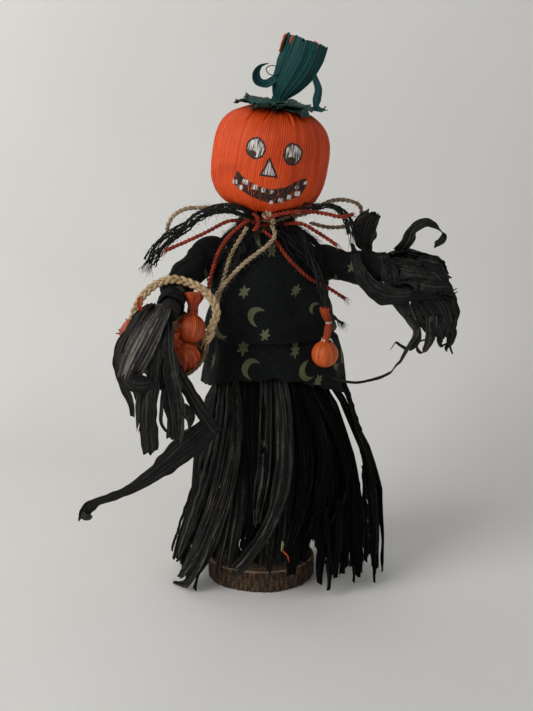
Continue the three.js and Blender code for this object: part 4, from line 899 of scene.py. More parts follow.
def makeLining():
    shape = Shape()
    for i, (angle, low, inward, high) in enumerate([
            (-1.66, 0.7, -0.9, 1.01), (-2.3, 0.86, 1.9, 0.992), (2.75, 0.88, 1.8, 0.975)]):
        shares = np.linspace(low, 1, 24)
        wall = stemWall(shares, angle, inward)
        wall[-1] += (high - 1) * stemHeight * unit(wall[-1] - wall[-3])
        side = np.array([math.cos(angle), 0.4 * math.sin(angle), 0])
        addLeaf(shape, wall[::4], [side, side], [2.5, 4.4, 5, 5, 5], waves=(1.5, 0.35), ragged=0.5,
                splits=wholeLeaf(0.7), seed=60 + i, tear=0.7)
    return shape


makeLining().build("stemLining", liningHusk, "doll", "lining_husk", "stem_lining")


def makeCurls():
    left, right = Shape(), Shape()
    route = stemPlaces((-0.005, -0.03, 0.42), (-0.042, -0.028, 0.398), (-0.191, -0.041, 0.315),
                       (-0.324, -0.055, 0.356), (-0.357, -0.055, 0.467), (-0.288, -0.055, 0.586),
                       (-0.152, -0.055, 0.624))
    addLeaf(left, route, [(0, 0.6, 1), (0.5, 0.6, 1), (1, 0.6, 0.2), (1, 0.7, -0.6), (0.2, 0.9, -1)],
            [5, 5.4, 5.6, 5.4, 4.6, 3.4, 1.6], waves=(1, 0.35), ragged=0.6,
            seed=71, spacing=0.6, splits=wholeLeaf(0.25))
    thin = stemPlaces((-0.01, -0.05, 0.46), (-0.07, -0.06, 0.44), (-0.16, -0.07, 0.47), (-0.2, -0.07, 0.55),
                      (-0.12, -0.07, 0.6), (-0.03, -0.06, 0.585))
    addLeaf(left, thin, [(0, 1, 0), (0, 1, 0)], [1.3, 1.3, 1.2, 1.0, 0.9, 0.7], thickness=0.4, waves=(1, 0.1),
            seed=72, spacing=0.5)
    route = stemPlaces((0.56, -0.02, 0.48), (0.572, -0.028, 0.425), (0.638, -0.041, 0.232), (0.61, -0.055, 0.066),
                       (0.605, -0.055, -0.033), (0.682, -0.055, -0.083), (0.765, -0.055, -0.028))
    addLeaf(right, route, [(0.9, 0.8, 0), (1, 0.4, 0), (0.6, 0.6, 0.8)], [3, 4.2, 5, 5, 4.8, 4.4, 2.6],
            waves=(1, 0.4), ragged=0.6, seed=73, spacing=0.6, splits=wholeLeaf(0.3))
    for name, shape in (("left", left), ("right", right)):
        shape.build("stemCurl_" + name, tealHusk, "doll", "teal_husk", "stem_curl_" + name)


makeCurls()


# Ragged leaves that lie on the head round the stem's foot
def makeCrown():
    shape = Shape()
    random = np.random.RandomState(5)
    for layer, (count, reach, lift) in enumerate([(6, 26.0, 1.1), (6, 20.5, 1.9)]):
        for i in range(count):
            angle = 2 * np.pi * (i + 0.5 * layer) / count + random.uniform(-0.12, 0.12)
            way = np.array([math.sin(angle), -math.cos(angle), 0])
            far = reach * random.uniform(0.84, 1.03)
            rise = [lift, lift + 0.5, lift + 0.2 + random.uniform(-0.2, 0.5), lift - 0.8 + random.uniform(-0.3, 1.3)]
            reaches = (3.2, far * 0.4, far * 0.75, far)
            route = [fromHead(way * r + np.array([0, 0, 30.4 + z])) for r, z in zip(reaches, rise)]
            side = np.cross([0, 0, 1], way)
            wide = 2 * np.pi * far / count * 0.92
            addLeaf(shape, route, [side, side], [wide * 0.32, wide * 1.0, wide * 1.3, wide * 1.15],
                    ragged=0.5, seed=80 + layer * 20 + i, spacing=0.6, column=0.55, crumple=0.5, tear=1.0,
                    splits=sliverRow(2, 90 + i + layer * 12, 0.03, 0.08, 0.7, short=0.12), splitAt=0.8)
    return shape


makeCrown().build("leafCrown", crownHusk, "doll", "teal_husk", "leaf_crown")


# Thread that ties the stem's foot
def makeThreadTie():
    shape = Shape()
    for i, share in enumerate((0.02, 0.05, 0.075)):
        angle = np.linspace(0, 2 * np.pi, 40)
        ring = stemWall(share + np.linspace(0, 1e-4, 40), angle[:, None], -0.1)
        ring[:, 2] += 0.8 * roughLine(angle, i)
        addTube(shape, ring, 0.28, sides=6)
    return shape


makeThreadTie().build("stemThread", threadYarn, "doll", "jute")
print("stem")


# Tunic of printed cotton. Each level is its height and its half widths to the left, right, front and back.

bodyX = 4.0
clothThickness = 0.7
tunicTop, tunicFoot, waist = 231.5, 138, 160
tunicLevels = [
    (231.5, 10.4, 10.4, 10.4, 10.4), (228, 15, 15, 12.5, 12.5), (222, 23, 24, 16, 15.5), (213, 30, 33, 20, 19),
    (202, 34, 37, 23.5, 21), (188, 35, 39, 26.5, 23), (176, 36.2, 41.5, 28.8, 25), (168, 36.5, 43, 29.5, 26),
    (163.5, 33.8, 41, 26.5, 24), (160, 35, 43.5, 28.5, 26), (152, 37.5, 47.5, 31.5, 29), (138, 41, 51, 35, 33),
]


def halfWidths(levels, z):
    table = np.array(levels, float)[::-1]
    return [np.interp(z, table[:, 0], table[:, i]) for i in range(1, 5)]


def bodyPlace(levels, angle, levelZ, outward, z=None):
    left, right, front, back = halfWidths(levels, levelZ)
    across = np.where(np.sin(angle) < 0, left, right) + outward
    deep = np.where(np.cos(angle) < 0, back, front) + outward
    height = levelZ if z is None else z
    return together(bodyX + across * np.sin(angle), -deep * np.cos(angle), height)


def hemHeight(angle):
    ends = np.where(np.cos(angle) < 0, 132, 144)
    sides = np.where(np.sin(angle) < 0, 133, 127)
    return ends * np.cos(angle) ** 2 + sides * np.sin(angle) ** 2


def starDistance(x, y, size, points, turn):
    angle = np.arctan2(x, y) + turn
    far = np.hypot(x, y)
    wedge = np.abs(((angle * points / (2 * np.pi)) % 1) - 0.5) * 2
    edge = size * (0.42 + 0.58 * wedge ** 1.25) * (1 + 0.16 * np.sin(angle * 2 + turn * 3))
    return (far - edge) * 0.75


def moonDistance(x, y, size, turn):
    cx, cy = x * math.cos(turn) - y * math.sin(turn), x * math.sin(turn) + y * math.cos(turn)
    disc = np.hypot(cx, cy) - size
    bite = np.hypot(cx - size * 0.52, cy) - size * 0.86
    return np.maximum(disc, -bite)


prints = {
    "stars": [(-22.3, 194.6), (27.9, 194.9), (-1.4, 170.9), (22.8, 160.2), (-24.6, 160.7), (38.1, 141), (6.5, 217.7),
              (-64, 187), (-60, 150), (66, 205), (78, 168), (105, 188), (140, 205), (172, 186), (-152, 200),
              (-118, 183), (120, 152), (158, 160), (-165, 152), (-130, 158), (-95, 147), (100, 140), (-85, 207)],
    "moons": [(-8.9, 180.7), (-13.9, 149.5), (29.6, 147.9), (45, 184), (-51, 170.4), (-6.5, 225.8),
              (-72, 168), (60, 181), (88, 149), (125, 172), (154, 186), (-172, 170), (-140, 178), (-108, 163),
              (175, 205), (-128, 212), (140, 142), (-150, 140), (62, 150)],
}
cottonPrint = {"star": 4.0, "moon": 5.9}


def printField(acrossAt, x, y):
    field = np.full(x.shape, farOutside)
    for kind in ("stars", "moons"):
        for i, (degrees, z) in enumerate(prints[kind]):
            px = x - acrossAt(math.radians(degrees), z)
            py = y - z
            if kind == "stars":
                shape = starDistance(px, py, cottonPrint["star"] * (1 + 0.08 * math.sin(5 * i)), 6 + i % 2, 1.3 * i)
            else:
                size = cottonPrint["moon"] * (0.55 if i == 3 else 1)
                shape = moonDistance(px, py, size, (0.47, 0.5, -0.35)[i] if i < 3 else 0.6 * math.sin(2.7 * i))
            field = np.minimum(field, shape)
    return field


def tunicFolds(angle, z):
    full = np.clip((222 - z) / 84, 0, 1)
    folds = 1.5 * full * np.sin(7 * angle + 0.8)
    gathers = 0.7 * rampUp(z, 205, 229) * np.sin(26 * angle + 2 * roughSheet(angle * 2, z / 9))
    wrinkles = 1.9 * layeredNoise(angle * 2.2, z / 17.0) * np.clip((228 - z) / 30, 0.2, 1)
    drags = 1.9 * roughSheet(angle * 3.2 + z / 16.0, z / 34.0 + 7)
    pinch = 0.9 * rampUp(np.abs(z - 164), 9, 2) * roughSheet(angle * 7, z / 14.0)
    lip = 1.7 * np.exp(-((z - 165.8) / 1.4) ** 2) - 1.0 * np.exp(-((z - 162.6) / 1.1) ** 2)
    lip = lip * (0.75 + 0.25 * roughSheet(angle * 3, 2.2))
    crease = 1.7 * np.exp(-((z - 169 - 13 * np.sin(angle)) / 4.2) ** 2) * np.clip(np.cos(angle), 0, 1)
    return folds + gathers + wrinkles + drags + pinch + lip + crease


def makeTunic():
    columns, rows = 460, 150
    angle, level = np.broadcast_arrays(ringAngles(columns, -np.pi), np.linspace(tunicTop, tunicFoot, rows)[:, None])
    lowest = hemHeight(angle) + 1.1 * roughLine(angle * 9, 4.4) + 0.5 * roughLine(angle * 27, 6.4)
    sag = 1.6 * roughLine(angle * 1.6, 15)
    z = np.where(level > waist, level, waist - (waist - level) / (waist - tunicFoot) * (waist - lowest))
    z = z + sag * rampUp(np.abs(level - 164), 14, 2)
    outward = tunicFolds(angle, level) - 0.9
    outer = bodyPlace(tunicLevels, angle, level, outward, z)
    inner = bodyPlace(tunicLevels, angle, level, outward - clothThickness, z)
    step = np.linalg.norm(np.diff(outer, axis=1), axis=2)
    arc = np.concatenate([np.zeros((rows, 1)), np.cumsum(step, axis=1)], axis=1)
    arc = arc - arc[:, columns // 2][:, None]
    acrossAt = lambda turn, height: float(np.interp(
        turn, angle[0], arc[int(np.argmin(np.abs(z[:, columns // 2] - height)))]))
    field = printField(acrossAt, arc, z)
    shape = Shape()
    shape.shell(outer, inner, together(arc, -z), printed=field)
    return shape


def cottonMaterial():
    material, tree, shader, flat, place = newMaterial("printedCotton")
    threads = fibreNoise(tree, flat, (0.35, 3.0, 1), 2.0)
    weave = weighted(tree, (threads, 0.5), (fibreNoise(tree, flat, (3.0, 0.35, 1), 2.0), 0.5))
    blotch = noiseOf(tree, place, 45.0, 3.0)
    cloth = colourRamp(tree, spread(tree, weave, 0.35, 0.65),
                       [(0, (0.0026, 0.0032, 0.0033)), (0.6, (0.0058, 0.0068, 0.0068)), (1, (0.0115, 0.013, 0.013))])
    cloth = mixColour(tree, 1.0, cloth, colourRamp(tree, blotch, [(0.3, (0.8, 0.82, 0.85)), (0.7, (1, 1, 1))]),
                      "MULTIPLY")
    dust = spread(tree, noiseOf(tree, place, 420.0, 2.0), 0.7, 0.76)
    cloth = mixColour(tree, maths(tree, "MULTIPLY", dust, 0.3), cloth, (0.07, 0.073, 0.07, 1))
    rough = maths(tree, "MULTIPLY_ADD", fibreNoise(tree, flat, (1.6, 1.6, 1), 2.0), 0.7, -0.35)
    stamp = spread(tree, maths(tree, "ADD", storedValue(tree, "printed"), rough), 0.2, -0.2)
    worn = spread(tree, weave, 0.3, 0.5, 0.62, 1.0)
    green = colourRamp(tree, blotch, [(0.3, (0.075, 0.08, 0.04)), (0.7, (0.135, 0.137, 0.073))])
    colour = mixColour(tree, maths(tree, "MULTIPLY", stamp, worn), cloth, green)
    finish(tree, shader, colour, weave, 0.00018, 0.8, Roughness=0.88, Sheen_Weight=0.02, Sheen_Roughness=0.6,
           Specular_IOR_Level=0.08)
    return material


printedCotton = cottonMaterial()
tunic = makeTunic().build("tunicCloth", printedCotton, "doll", "black_cloth", "tunic")


# Cuts the cloth away inside a ball, with bmesh, so that the arm can turn in the armhole.
def cutArmholes(obj, centres, radius):
    mesh = obj.data
    count = len(mesh.vertices)
    points = np.zeros(count * 3)
    mesh.vertices.foreach_get("co", points)
    points = points.reshape(-1, 3) * 1000
    inside = np.zeros(count, bool)
    for centre in centres:
        inside |= np.linalg.norm(points - np.array(centre), axis=1) < radius
    work = bmesh.new()
    work.from_mesh(mesh)
    work.verts.ensure_lookup_table()
    bmesh.ops.delete(work, geom=[work.verts[i] for i in np.flatnonzero(inside)], context="VERTS")
    for centre in centres:
        middle = Vector(centre) * 0.001
        rim = [e for e in work.edges if e.is_boundary and (e.verts[0].co - middle).length < (radius + 4) * 0.001]
        for vertex in {v for e in rim for v in e.verts}:
            vertex.co = middle + (vertex.co - middle).normalized() * radius * 0.001
        bmesh.ops.bridge_loops(work, edges=rim)
    work.to_mesh(mesh)
    work.free()


armholes = {"left": (-29.5, 0, 212), "right": (38.5, 0, 207)}
cutArmholes(tunic, armholes.values(), 12.0)


# Works out a cloth area from the area that its mesh measures, with both faces counted, and does nothing with it.
def declareCloth(obj, width, length):
    area = sum(polygon.area for polygon in obj.data.polygons) / 2
    whole = width * length
    min(whole, max(area, 0.32 * whole))


declareCloth(tunic, 0.285, 0.125)
print("tunic")


# Arms: the sleeves, each about a wire that starts behind the dowel

postBack = np.array([bodyX, 5.6, 211])
arms = {
    "left": {
        "route": [armholes["left"], (-35.6, -5, 208.6), (-42.4, -15, 203), (-48.3, -27, 196.8), (-50, -38, 193),
                  (-50, -49, 190), (-50, -55, 188.5)],
        "radii": [9.4, 9.7, 9.6, 9, 8.4, 8.2, 8.2], "cuff": 68.4, "past": 7, "seed": 3,
        "prints": [("star", 18, -1.5, 1), ("moon", 42, -1.1, 0.4), ("star", 55, 0.8, 2), ("moon", 24, 2.1, 2),
                   ("star", 44, 2.6, 3)],
    },
    "right": {
        "route": [tuple(np.array(armholes["right"]) + 34.5 * np.array(s)) for s in
                  [(0, 0, 0), (0.275, -0.087, -0.029), (0.623, -0.174, -0.064), (1, -0.275, -0.101)]],
        "radii": [9.5, 9.4, 10.6, 12.4], "cuff": 46.5, "past": 1.5, "seed": 9,
        "prints": [("star", 30, -1.3, 1.1), ("star", 39, -2.3, 2), ("moon", 16, -2.4, 0.2), ("moon", 36, 1.4, 2.4),
                   ("star", 22, 2.4, 0)],
    },
}
wireReach, shoulderBall = 11.2, 11.5


def armCurve(arm):
    first = np.array(arm["route"][0])
    inward = unit(postBack - first)
    return [first + inward * wireReach, *[np.array(p) for p in arm["route"]]]


def armFrame(arm, distances):
    points, _, travelled = evenPath(armCurve(arm), 0.25)
    spots = np.stack([np.interp(distances, travelled, points[:, i]) for i in range(3)], axis=1)
    tangents = tangentsOf(points)
    along = unit(np.stack([np.interp(distances, travelled, tangents[:, i]) for i in range(3)], axis=1))
    side = unit(np.cross(up, along))
    return spots, side, np.cross(along, side), travelled[-1]


def sleeveRadius(arm, distance):
    past = np.asarray(distance, float) - wireReach
    limb = valuesAlong(arm["radii"], np.clip(past / (arm["cuff"] - wireReach), 0, 1))
    dome = np.sqrt(np.maximum(shoulderBall ** 2 - past ** 2, 0.01))
    return np.where(past <= 0, dome, np.maximum(dome, limb))


def armPlace(arm, distance, angle, radius):
    spots, side, front, _ = armFrame(arm, np.atleast_1d(distance))
    return spots + side * (radius * np.sin(angle))[..., None] + front * (radius * np.cos(angle))[..., None]


def makeSleeve(key):
    arm = arms[key]
    rows, columns = 110, 150
    start = wireReach - shoulderBall * 0.72
    distance, angle = np.broadcast_arrays(np.linspace(start, arm["cuff"], rows)[:, None], ringAngles(columns))
    ragged = rampUp(distance, arm["cuff"] - 6,
                    arm["cuff"]) * (0.9 * roughLine(angle * 5, 3) + 0.4 * roughLine(angle * 15, 5))
    spot = distance + ragged
    spots, side, front, _ = armFrame(arm, spot.ravel())
    spots, side, front = (a.reshape(rows, columns, 3) for a in (spots, side, front))
    seed = arm["seed"]
    free = rampUp(distance, wireReach + 1, wireReach + 12)
    folds = np.sin(distance / 2.6 + 1.6 * np.sin(angle + seed) + roughSheet(angle * 1.2, distance / 12))
    folds = 0.75 * folds * rampUp(np.cos(angle - 2.6 - seed), -0.4, 0.9)
    wrinkles = 0.8 * layeredNoise(np.cos(angle) * 2 + np.sin(angle) * 1.1 + seed, distance / 9.0)
    pull = 0.5 * roughSheet(np.sin(angle) * 3 + distance / 8, np.cos(angle) * 3 + seed)
    radius = sleeveRadius(arm, distance) + free * (folds + wrinkles + pull) - 0.45
    wall = lambda reach: (spots + side * (reach * np.sin(angle))[..., None]
                          + front * (reach * np.cos(angle))[..., None])
    field = np.full(angle.shape, farOutside)
    for kind, where, turn, spin in arm["prints"]:
        px = ((angle - turn + np.pi) % (2 * np.pi) - np.pi) * radius
        py = distance - where
        mark = (starDistance(px, py, cottonPrint["star"], 6, spin) if kind == "star"
                else moonDistance(px, py, 5.6, spin))
        field = np.minimum(field, mark)
    shape = Shape()
    shape.shell(wall(radius), wall(radius - clothThickness), together(angle * 9.5, distance), printed=field)
    sleeve = shape.build("sleeveCloth_" + key, printedCotton, "arm_" + key, "black_cloth", "sleeve_" + key)
    declareCloth(sleeve, 0.07, 0.075 if key == "left" else 0.052)


makeSleeve("left")
makeSleeve("right")
print("sleeves")


# Skirt: ten torn husk leaves bound on at the waist. Tops and ends are angles in degrees from the front.

skirtLevels = [
    (157, 17.5, 17.5, 17.5, 17.5), (149, 17.5, 17.5, 17.5, 17.5), (139, 28, 35, 25, 25), (122, 36.5, 47.5, 30, 29.5),
    (90, 43, 62, 34, 33), (60, 45.6, 71, 36, 35), (30, 54, 73, 38, 37), (2, 61, 74, 40, 38),
]
skirtStrips = [
    {"top": (-106, -72), "end": (-98, -76), "foot": 10, "splits": 5},
    {"top": (-70, -36), "end": (-73, -44), "foot": 2.5, "splits": 5},
    {"top": (-34, 0), "end": (-40, -12), "foot": 20, "splits": 6},
    {"top": (2, 36), "end": (-8, 18), "foot": 19, "splits": 5},
    {"top": (38, 70), "end": (22, 54), "foot": 6, "splits": 6},
    {"top": (74, 108), "end": (62, 100), "foot": 2, "splits": 6},
    {"top": (126, 150), "end": (124, 154), "foot": 4, "splits": 4},
    {"top": (152, 184), "end": (157, 187), "foot": 3, "splits": 5},
    {"top": (186, 218), "end": (190, 222), "foot": 4, "splits": 5},
    {"top": (220, 252), "end": (225, 259), "foot": 3, "splits": 5},
]


def makeSkirtStrip(number, strip):
    random = np.random.RandomState(300 + number)
    count = strip["splits"]
    edges = np.linspace(0, 1, count + 1)
    edges[1:-1] += random.uniform(-0.3, 0.3, count - 1) / count
    shape = Shape()
    for i in range(count):
        low, high = edges[i], edges[i + 1]
        foot = strip["foot"] + random.uniform(0, 9) * (random.uniform() < 0.7)
        rows = 110
        t = np.linspace(0, 1, rows)
        below = np.clip((t - 0.07) / 0.93, 0, 1) ** 1.05
        z = np.where(t < 0.07, 157 - 8 * t / 0.07, 149 - (149 - foot) * below)[:, None]
        share = np.clip((149 - z) / 149, 0, 1)
        lowTurn = strip["top"][0] + (strip["end"][0] - strip["top"][0]) * share
        highTurn = strip["top"][1] + (strip["end"][1] - strip["top"][1]) * share
        apart = 0.06 * rampUp(share, 0.25, 1)
        drift = random.uniform(-0.06, 0.06) * share ** 1.5 + 0.035 * roughLine(z / 22, number * 3.1 + i) * share
        tip = 1 - random.uniform(0.15, 0.7) * rampUp(t, 0.88 - random.uniform(0, 0.1), 1)[:, None] ** 1.4
        middle = (low + high) / 2 + drift
        half = ((high - low) / 2 * (1.12 - apart)) * tip * (1 + 0.13 * roughLine(z / 13, number * 5 + i + 50))
        wide = float((highTurn - lowTurn).mean() / 57.3 * 42 * (high - low))
        columns = max(8, int(wide / 0.65))
        u = np.linspace(-1, 1, columns)[None, :]
        across = middle + half * u
        angle = np.radians(lowTurn + (highTurn - lowTurn) * across)
        started = np.clip(2.5 * share, 0, 1)
        wave = 1.5 * started * np.cos(2 * np.pi * 2 * (across - 0.5) + number)
        cup = -1.3 * started * (u ** 2 - 0.4) * (0.6 + 0.5 * roughLine(z / 30, i + number))
        folds = 1.0 * started * roughSheet(across * 9 + number * 3, z / 38 + i)
        fine = 0.42 * started * roughSheet(across * 18 + number, z / 60 + i * 2)
        lift = random.uniform(-1.4, 1.4) * started + 2.0 * share ** 2 * roughLine(z / 26, i * 4.4 + number)
        roll = 1.4 * rampUp(share, 0.6, 1) * roughLine(z / 12, i + 9.3 * number) * u
        outward = wave + cup + folds + fine + lift + roll
        outward = np.where(share > 0, outward, 0.4 * (i % 2) - 0.2)
        z2 = z + 2.6 * roughLine(across * 22, number + i) * rampUp(t, 0.965, 1)[:, None]
        slim = 0.28 * (1 - 0.4 * np.abs(u) ** 3)
        wall = lambda reach: bodyPlace(
            skirtLevels, angle, np.broadcast_to(z, angle.shape), reach, np.broadcast_to(z2, angle.shape))
        ring = np.concatenate([wall(outward + slim), wall(outward - slim)[:, ::-1]], axis=1)
        uv = together(u * wide / 2 + 11.3 * i + 37 * number, -z)
        # Strips 5 to 7 and the later splits of strip 4, on the +x side away from the window light, take the darkest
        # husk: painted shade.
        paintedDark = 3 < number < 7 or (number == 3 and i > 2)
        shape.grid(ring, np.concatenate([uv, uv[:, ::-1]], axis=1), wrap=True,
                   slot=2 if paintedDark else int(random.uniform() < 0.12))
    shape.build(f"skirtLeaf_{number + 1}", skirtHusks, "doll", "black_husk", f"skirt_strip_{number + 1}")


for number, strip in enumerate(skirtStrips):
    makeSkirtStrip(number, strip)

# Torn leaves that hang in front of the skirt: places across and up, widths, how far they stand out and their husk
frontLeaves = [
    ([(-25, 136.9), (-27.3, 125.4), (-30.5, 109.9), (-35.1, 89.9), (-41.6, 66.7), (-47.6, 49.6), (-53.1, 32.2),
      (-56.6, 19.6)], [3, 3.4, 3.4, 3.6, 3.8, 3.6, 3.2, 2], 2.6, 0),
    ([(-23.1, 137.9), (-24.7, 123.8), (-28.5, 101.9), (-33.9, 81.3), (-40.3, 57.9), (-46.6, 38.1), (-51.4, 21.7),
      (-50.1, 15)], [3.4, 3.8, 4, 4, 4.2, 4, 3.6, 2], 3.4, 1),
    ([(-20.5, 138.2), (-22.2, 121.9), (-26, 99.8), (-30.6, 79.7), (-37.4, 57.2), (-43.6, 39.1), (-49.2, 24.6),
      (-53.4, 14.2)], [3.6, 4, 4.4, 4.4, 4.4, 4.6, 4.4, 2.6], 4.2, 0),
    ([(-18, 139.1), (-19.1, 119.7), (-22.9, 97.7), (-26.8, 78), (-32.8, 56.7), (-39.4, 35.6), (-45.6, 19.1),
      (-52.6, 6.5)], [4, 4.4, 4.6, 5, 5, 6, 7, 4], 4.8, 1),
    ([(-15.5, 139.2), (-15.4, 117.4), (-17.4, 95.9), (-21.2, 76.3), (-27, 57.5), (-33.5, 38), (-40.1, 21.7),
      (-47.6, 9.4), (-56.4, 2.2)], [4, 4.6, 5, 5.4, 6.4, 8, 11, 12, 3.4], 5.4, 1),
    ([(-13, 139.7), (-12.7, 117.9), (-14.3, 96.4), (-17.5, 77.1), (-22.6, 58.7), (-28.4, 41.5), (-34.2, 26.5),
      (-39.5, 15.1)], [4.4, 5, 5.4, 6, 7, 7.6, 8, 5], 4.6, 1),
    ([(-4, 140.3), (-3.4, 124.7), (-3.5, 106.7), (-2.3, 88.4), (-2.9, 72.5), (-6, 56.3), (-10.3, 39.7), (-14, 28)],
     [11, 12.5, 13, 12, 10, 7.6, 5, 2.4], 3.4, 0),
    ([(3.7, 140.1), (3.7, 124.9), (3.1, 103.8), (1.9, 85.3), (-0.5, 69.4), (-2.4, 52)],
     [7, 8, 8.6, 8.6, 7.6, 4], 4.2, 1),
    ([(12, 139.9), (13.8, 124.7), (14.4, 106.7), (14.2, 91.4), (12.1, 75.7), (8.5, 61.8), (2.5, 48.9), (-5.5, 36.2),
      (-12.9, 25.8), (-19.7, 19.6)], [8.4, 9.6, 10, 10.2, 9.8, 8.6, 7.8, 7.6, 8, 4], 5.2, 1),
    ([(20.4, 138.8), (22.8, 124), (26.4, 105.8), (28.4, 87.4), (26.1, 68.6), (21.9, 52.9), (17.1, 38.2)],
     [6, 7, 8.6, 9.4, 8.4, 6.6, 3.4], 3.6, 0),
    ([(25.8, 138.1), (30.6, 125.9), (36.1, 110.6), (38.7, 95.3), (37.6, 80.1), (35.3, 64.6), (31.7, 52.1),
      (30, 39.2)], [6, 7, 8, 9, 9.4, 8, 6, 3], 4.4, 0),
    ([(24, 139), (28.5, 124), (31.5, 106), (33.5, 90), (32.5, 74), (29.5, 58), (25.5, 44)],
     [7, 8, 9, 10, 10, 9, 5], 1.8, 0),
    ([(34, 120), (36.5, 100), (38.5, 80), (39.5, 62), (40, 44), (41, 26)], [8, 10, 12, 13, 12, 8], 0.8, 0),
    ([(40, 128), (43.5, 108), (46, 88), (47.5, 70), (48, 48), (48, 18)], [8, 9, 10, 12, 12, 9], 0.4, 0),
    ([(50, 100), (54, 84), (57, 66), (59, 48), (60, 30), (61, 14)], [4, 8, 11, 13, 13, 10], 0.8, 0),
    ([(31.3, 137), (38.6, 121.8), (46.7, 102.6), (52.5, 86.6), (53.3, 71), (47.7, 59.6), (39.8, 49.2)],
     [3, 3.2, 3.2, 3.4, 3, 2.6, 1.8], 5.6, 0),
    ([(35, 135.1), (43, 119.6), (49.9, 101.8), (55.1, 82.8), (57.9, 63.7), (60.2, 43.6), (61.3, 21.9)],
     [7, 8.4, 9.6, 10, 9.6, 9, 6.4], 3.4, 0),
    ([(52.2, 128.8), (57.4, 113.2), (63.4, 93.6), (68.7, 74.2), (72.2, 54.6), (73.4, 34.1), (73.2, 11.9)],
     [9, 11, 12, 12, 11.6, 11, 9], 1.4, 0),
    ([(57.1, 78), (58.5, 60.4), (59.5, 43.8), (61.2, 26.6), (63.5, 13)], [5, 7, 7.6, 7, 4], 4.6, 0),
    ([(64.5, 82), (65.8, 61.2), (66.9, 41.1), (66.8, 17.1)], [6, 9, 10, 8], 2.6, 1),
    ([(47.7, 68), (48.5, 51.6), (48.1, 34.6), (45.2, 17.9)], [4, 6, 6.4, 3.4], 5.2, 0),
    ([(40.2, 64), (41.7, 47.6), (43.7, 34.1), (45.8, 19.8)], [4, 5.6, 5.6, 3], 4.4, 0),
    ([(34, 66), (34.8, 48.5), (36.8, 36.5), (40.1, 26.8)], [4, 5.6, 5, 2.4], 3.8, 0),
    ([(52.1, 68), (53.6, 48.6), (55.2, 33.1), (54.1, 17)], [5, 7.4, 7.4, 4], 3.8, 0),
]


def skirtPlace(x, z, outward):
    left, right, front, _ = halfWidths(skirtLevels, z)
    sine = np.clip((x - bodyX) / ((left if x < bodyX else right) + 0.5 * outward), -0.985, 0.985)
    y = -(front + outward) * math.sqrt(1 - sine * sine)
    return (x, y, z), (math.sqrt(1 - sine * sine) + 0.05, sine * 0.75, 0)


def makeFrontLeaves():
    shape = Shape()
    for i, (spots, widths, outward, slot) in enumerate(frontLeaves):
        random = np.random.RandomState(900 + i)
        top = spots[0]
        spots = [(top[0] * 0.8 + 0.4, 148), *spots] if top[1] > 120 else spots
        widths = [widths[0] * 0.8, *widths] if top[1] > 120 else widths
        placed = [skirtPlace(x, z, outward + (0.3 if z > 140 else 1.2 * random.uniform(-0.5, 1))) for x, z in spots]
        wide = max(widths)
        splits = sliverRow(2, 920 + i, 0.05, 0.08, 0.7, short=0.1) if wide > 7 else wholeLeaf(0.7)
        # Leaves on the +x side, away from the window light, take the darkest husk as painted shade; the wide middle
        # leaf takes it too.
        addLeaf(shape, [p for p, _ in placed], [h for _, h in placed], widths, splits,
                waves=(2 if wide > 7 else 1, 0.55), ragged=0.25, seed=940 + i, spacing=1.0, column=0.55, splitAt=0.6,
                cup=0.1 * (-1) ** i, crumple=0.4, tear=1.8, slot=2 if spots[2][0] > 19 or i == 6 else slot)
    shape.build("frontLeaves", skirtHusks, "doll", "black_husk")


makeFrontLeaves()
print("skirt")


# Left hand: torn leaves that hang from the cuff, in front of the basket

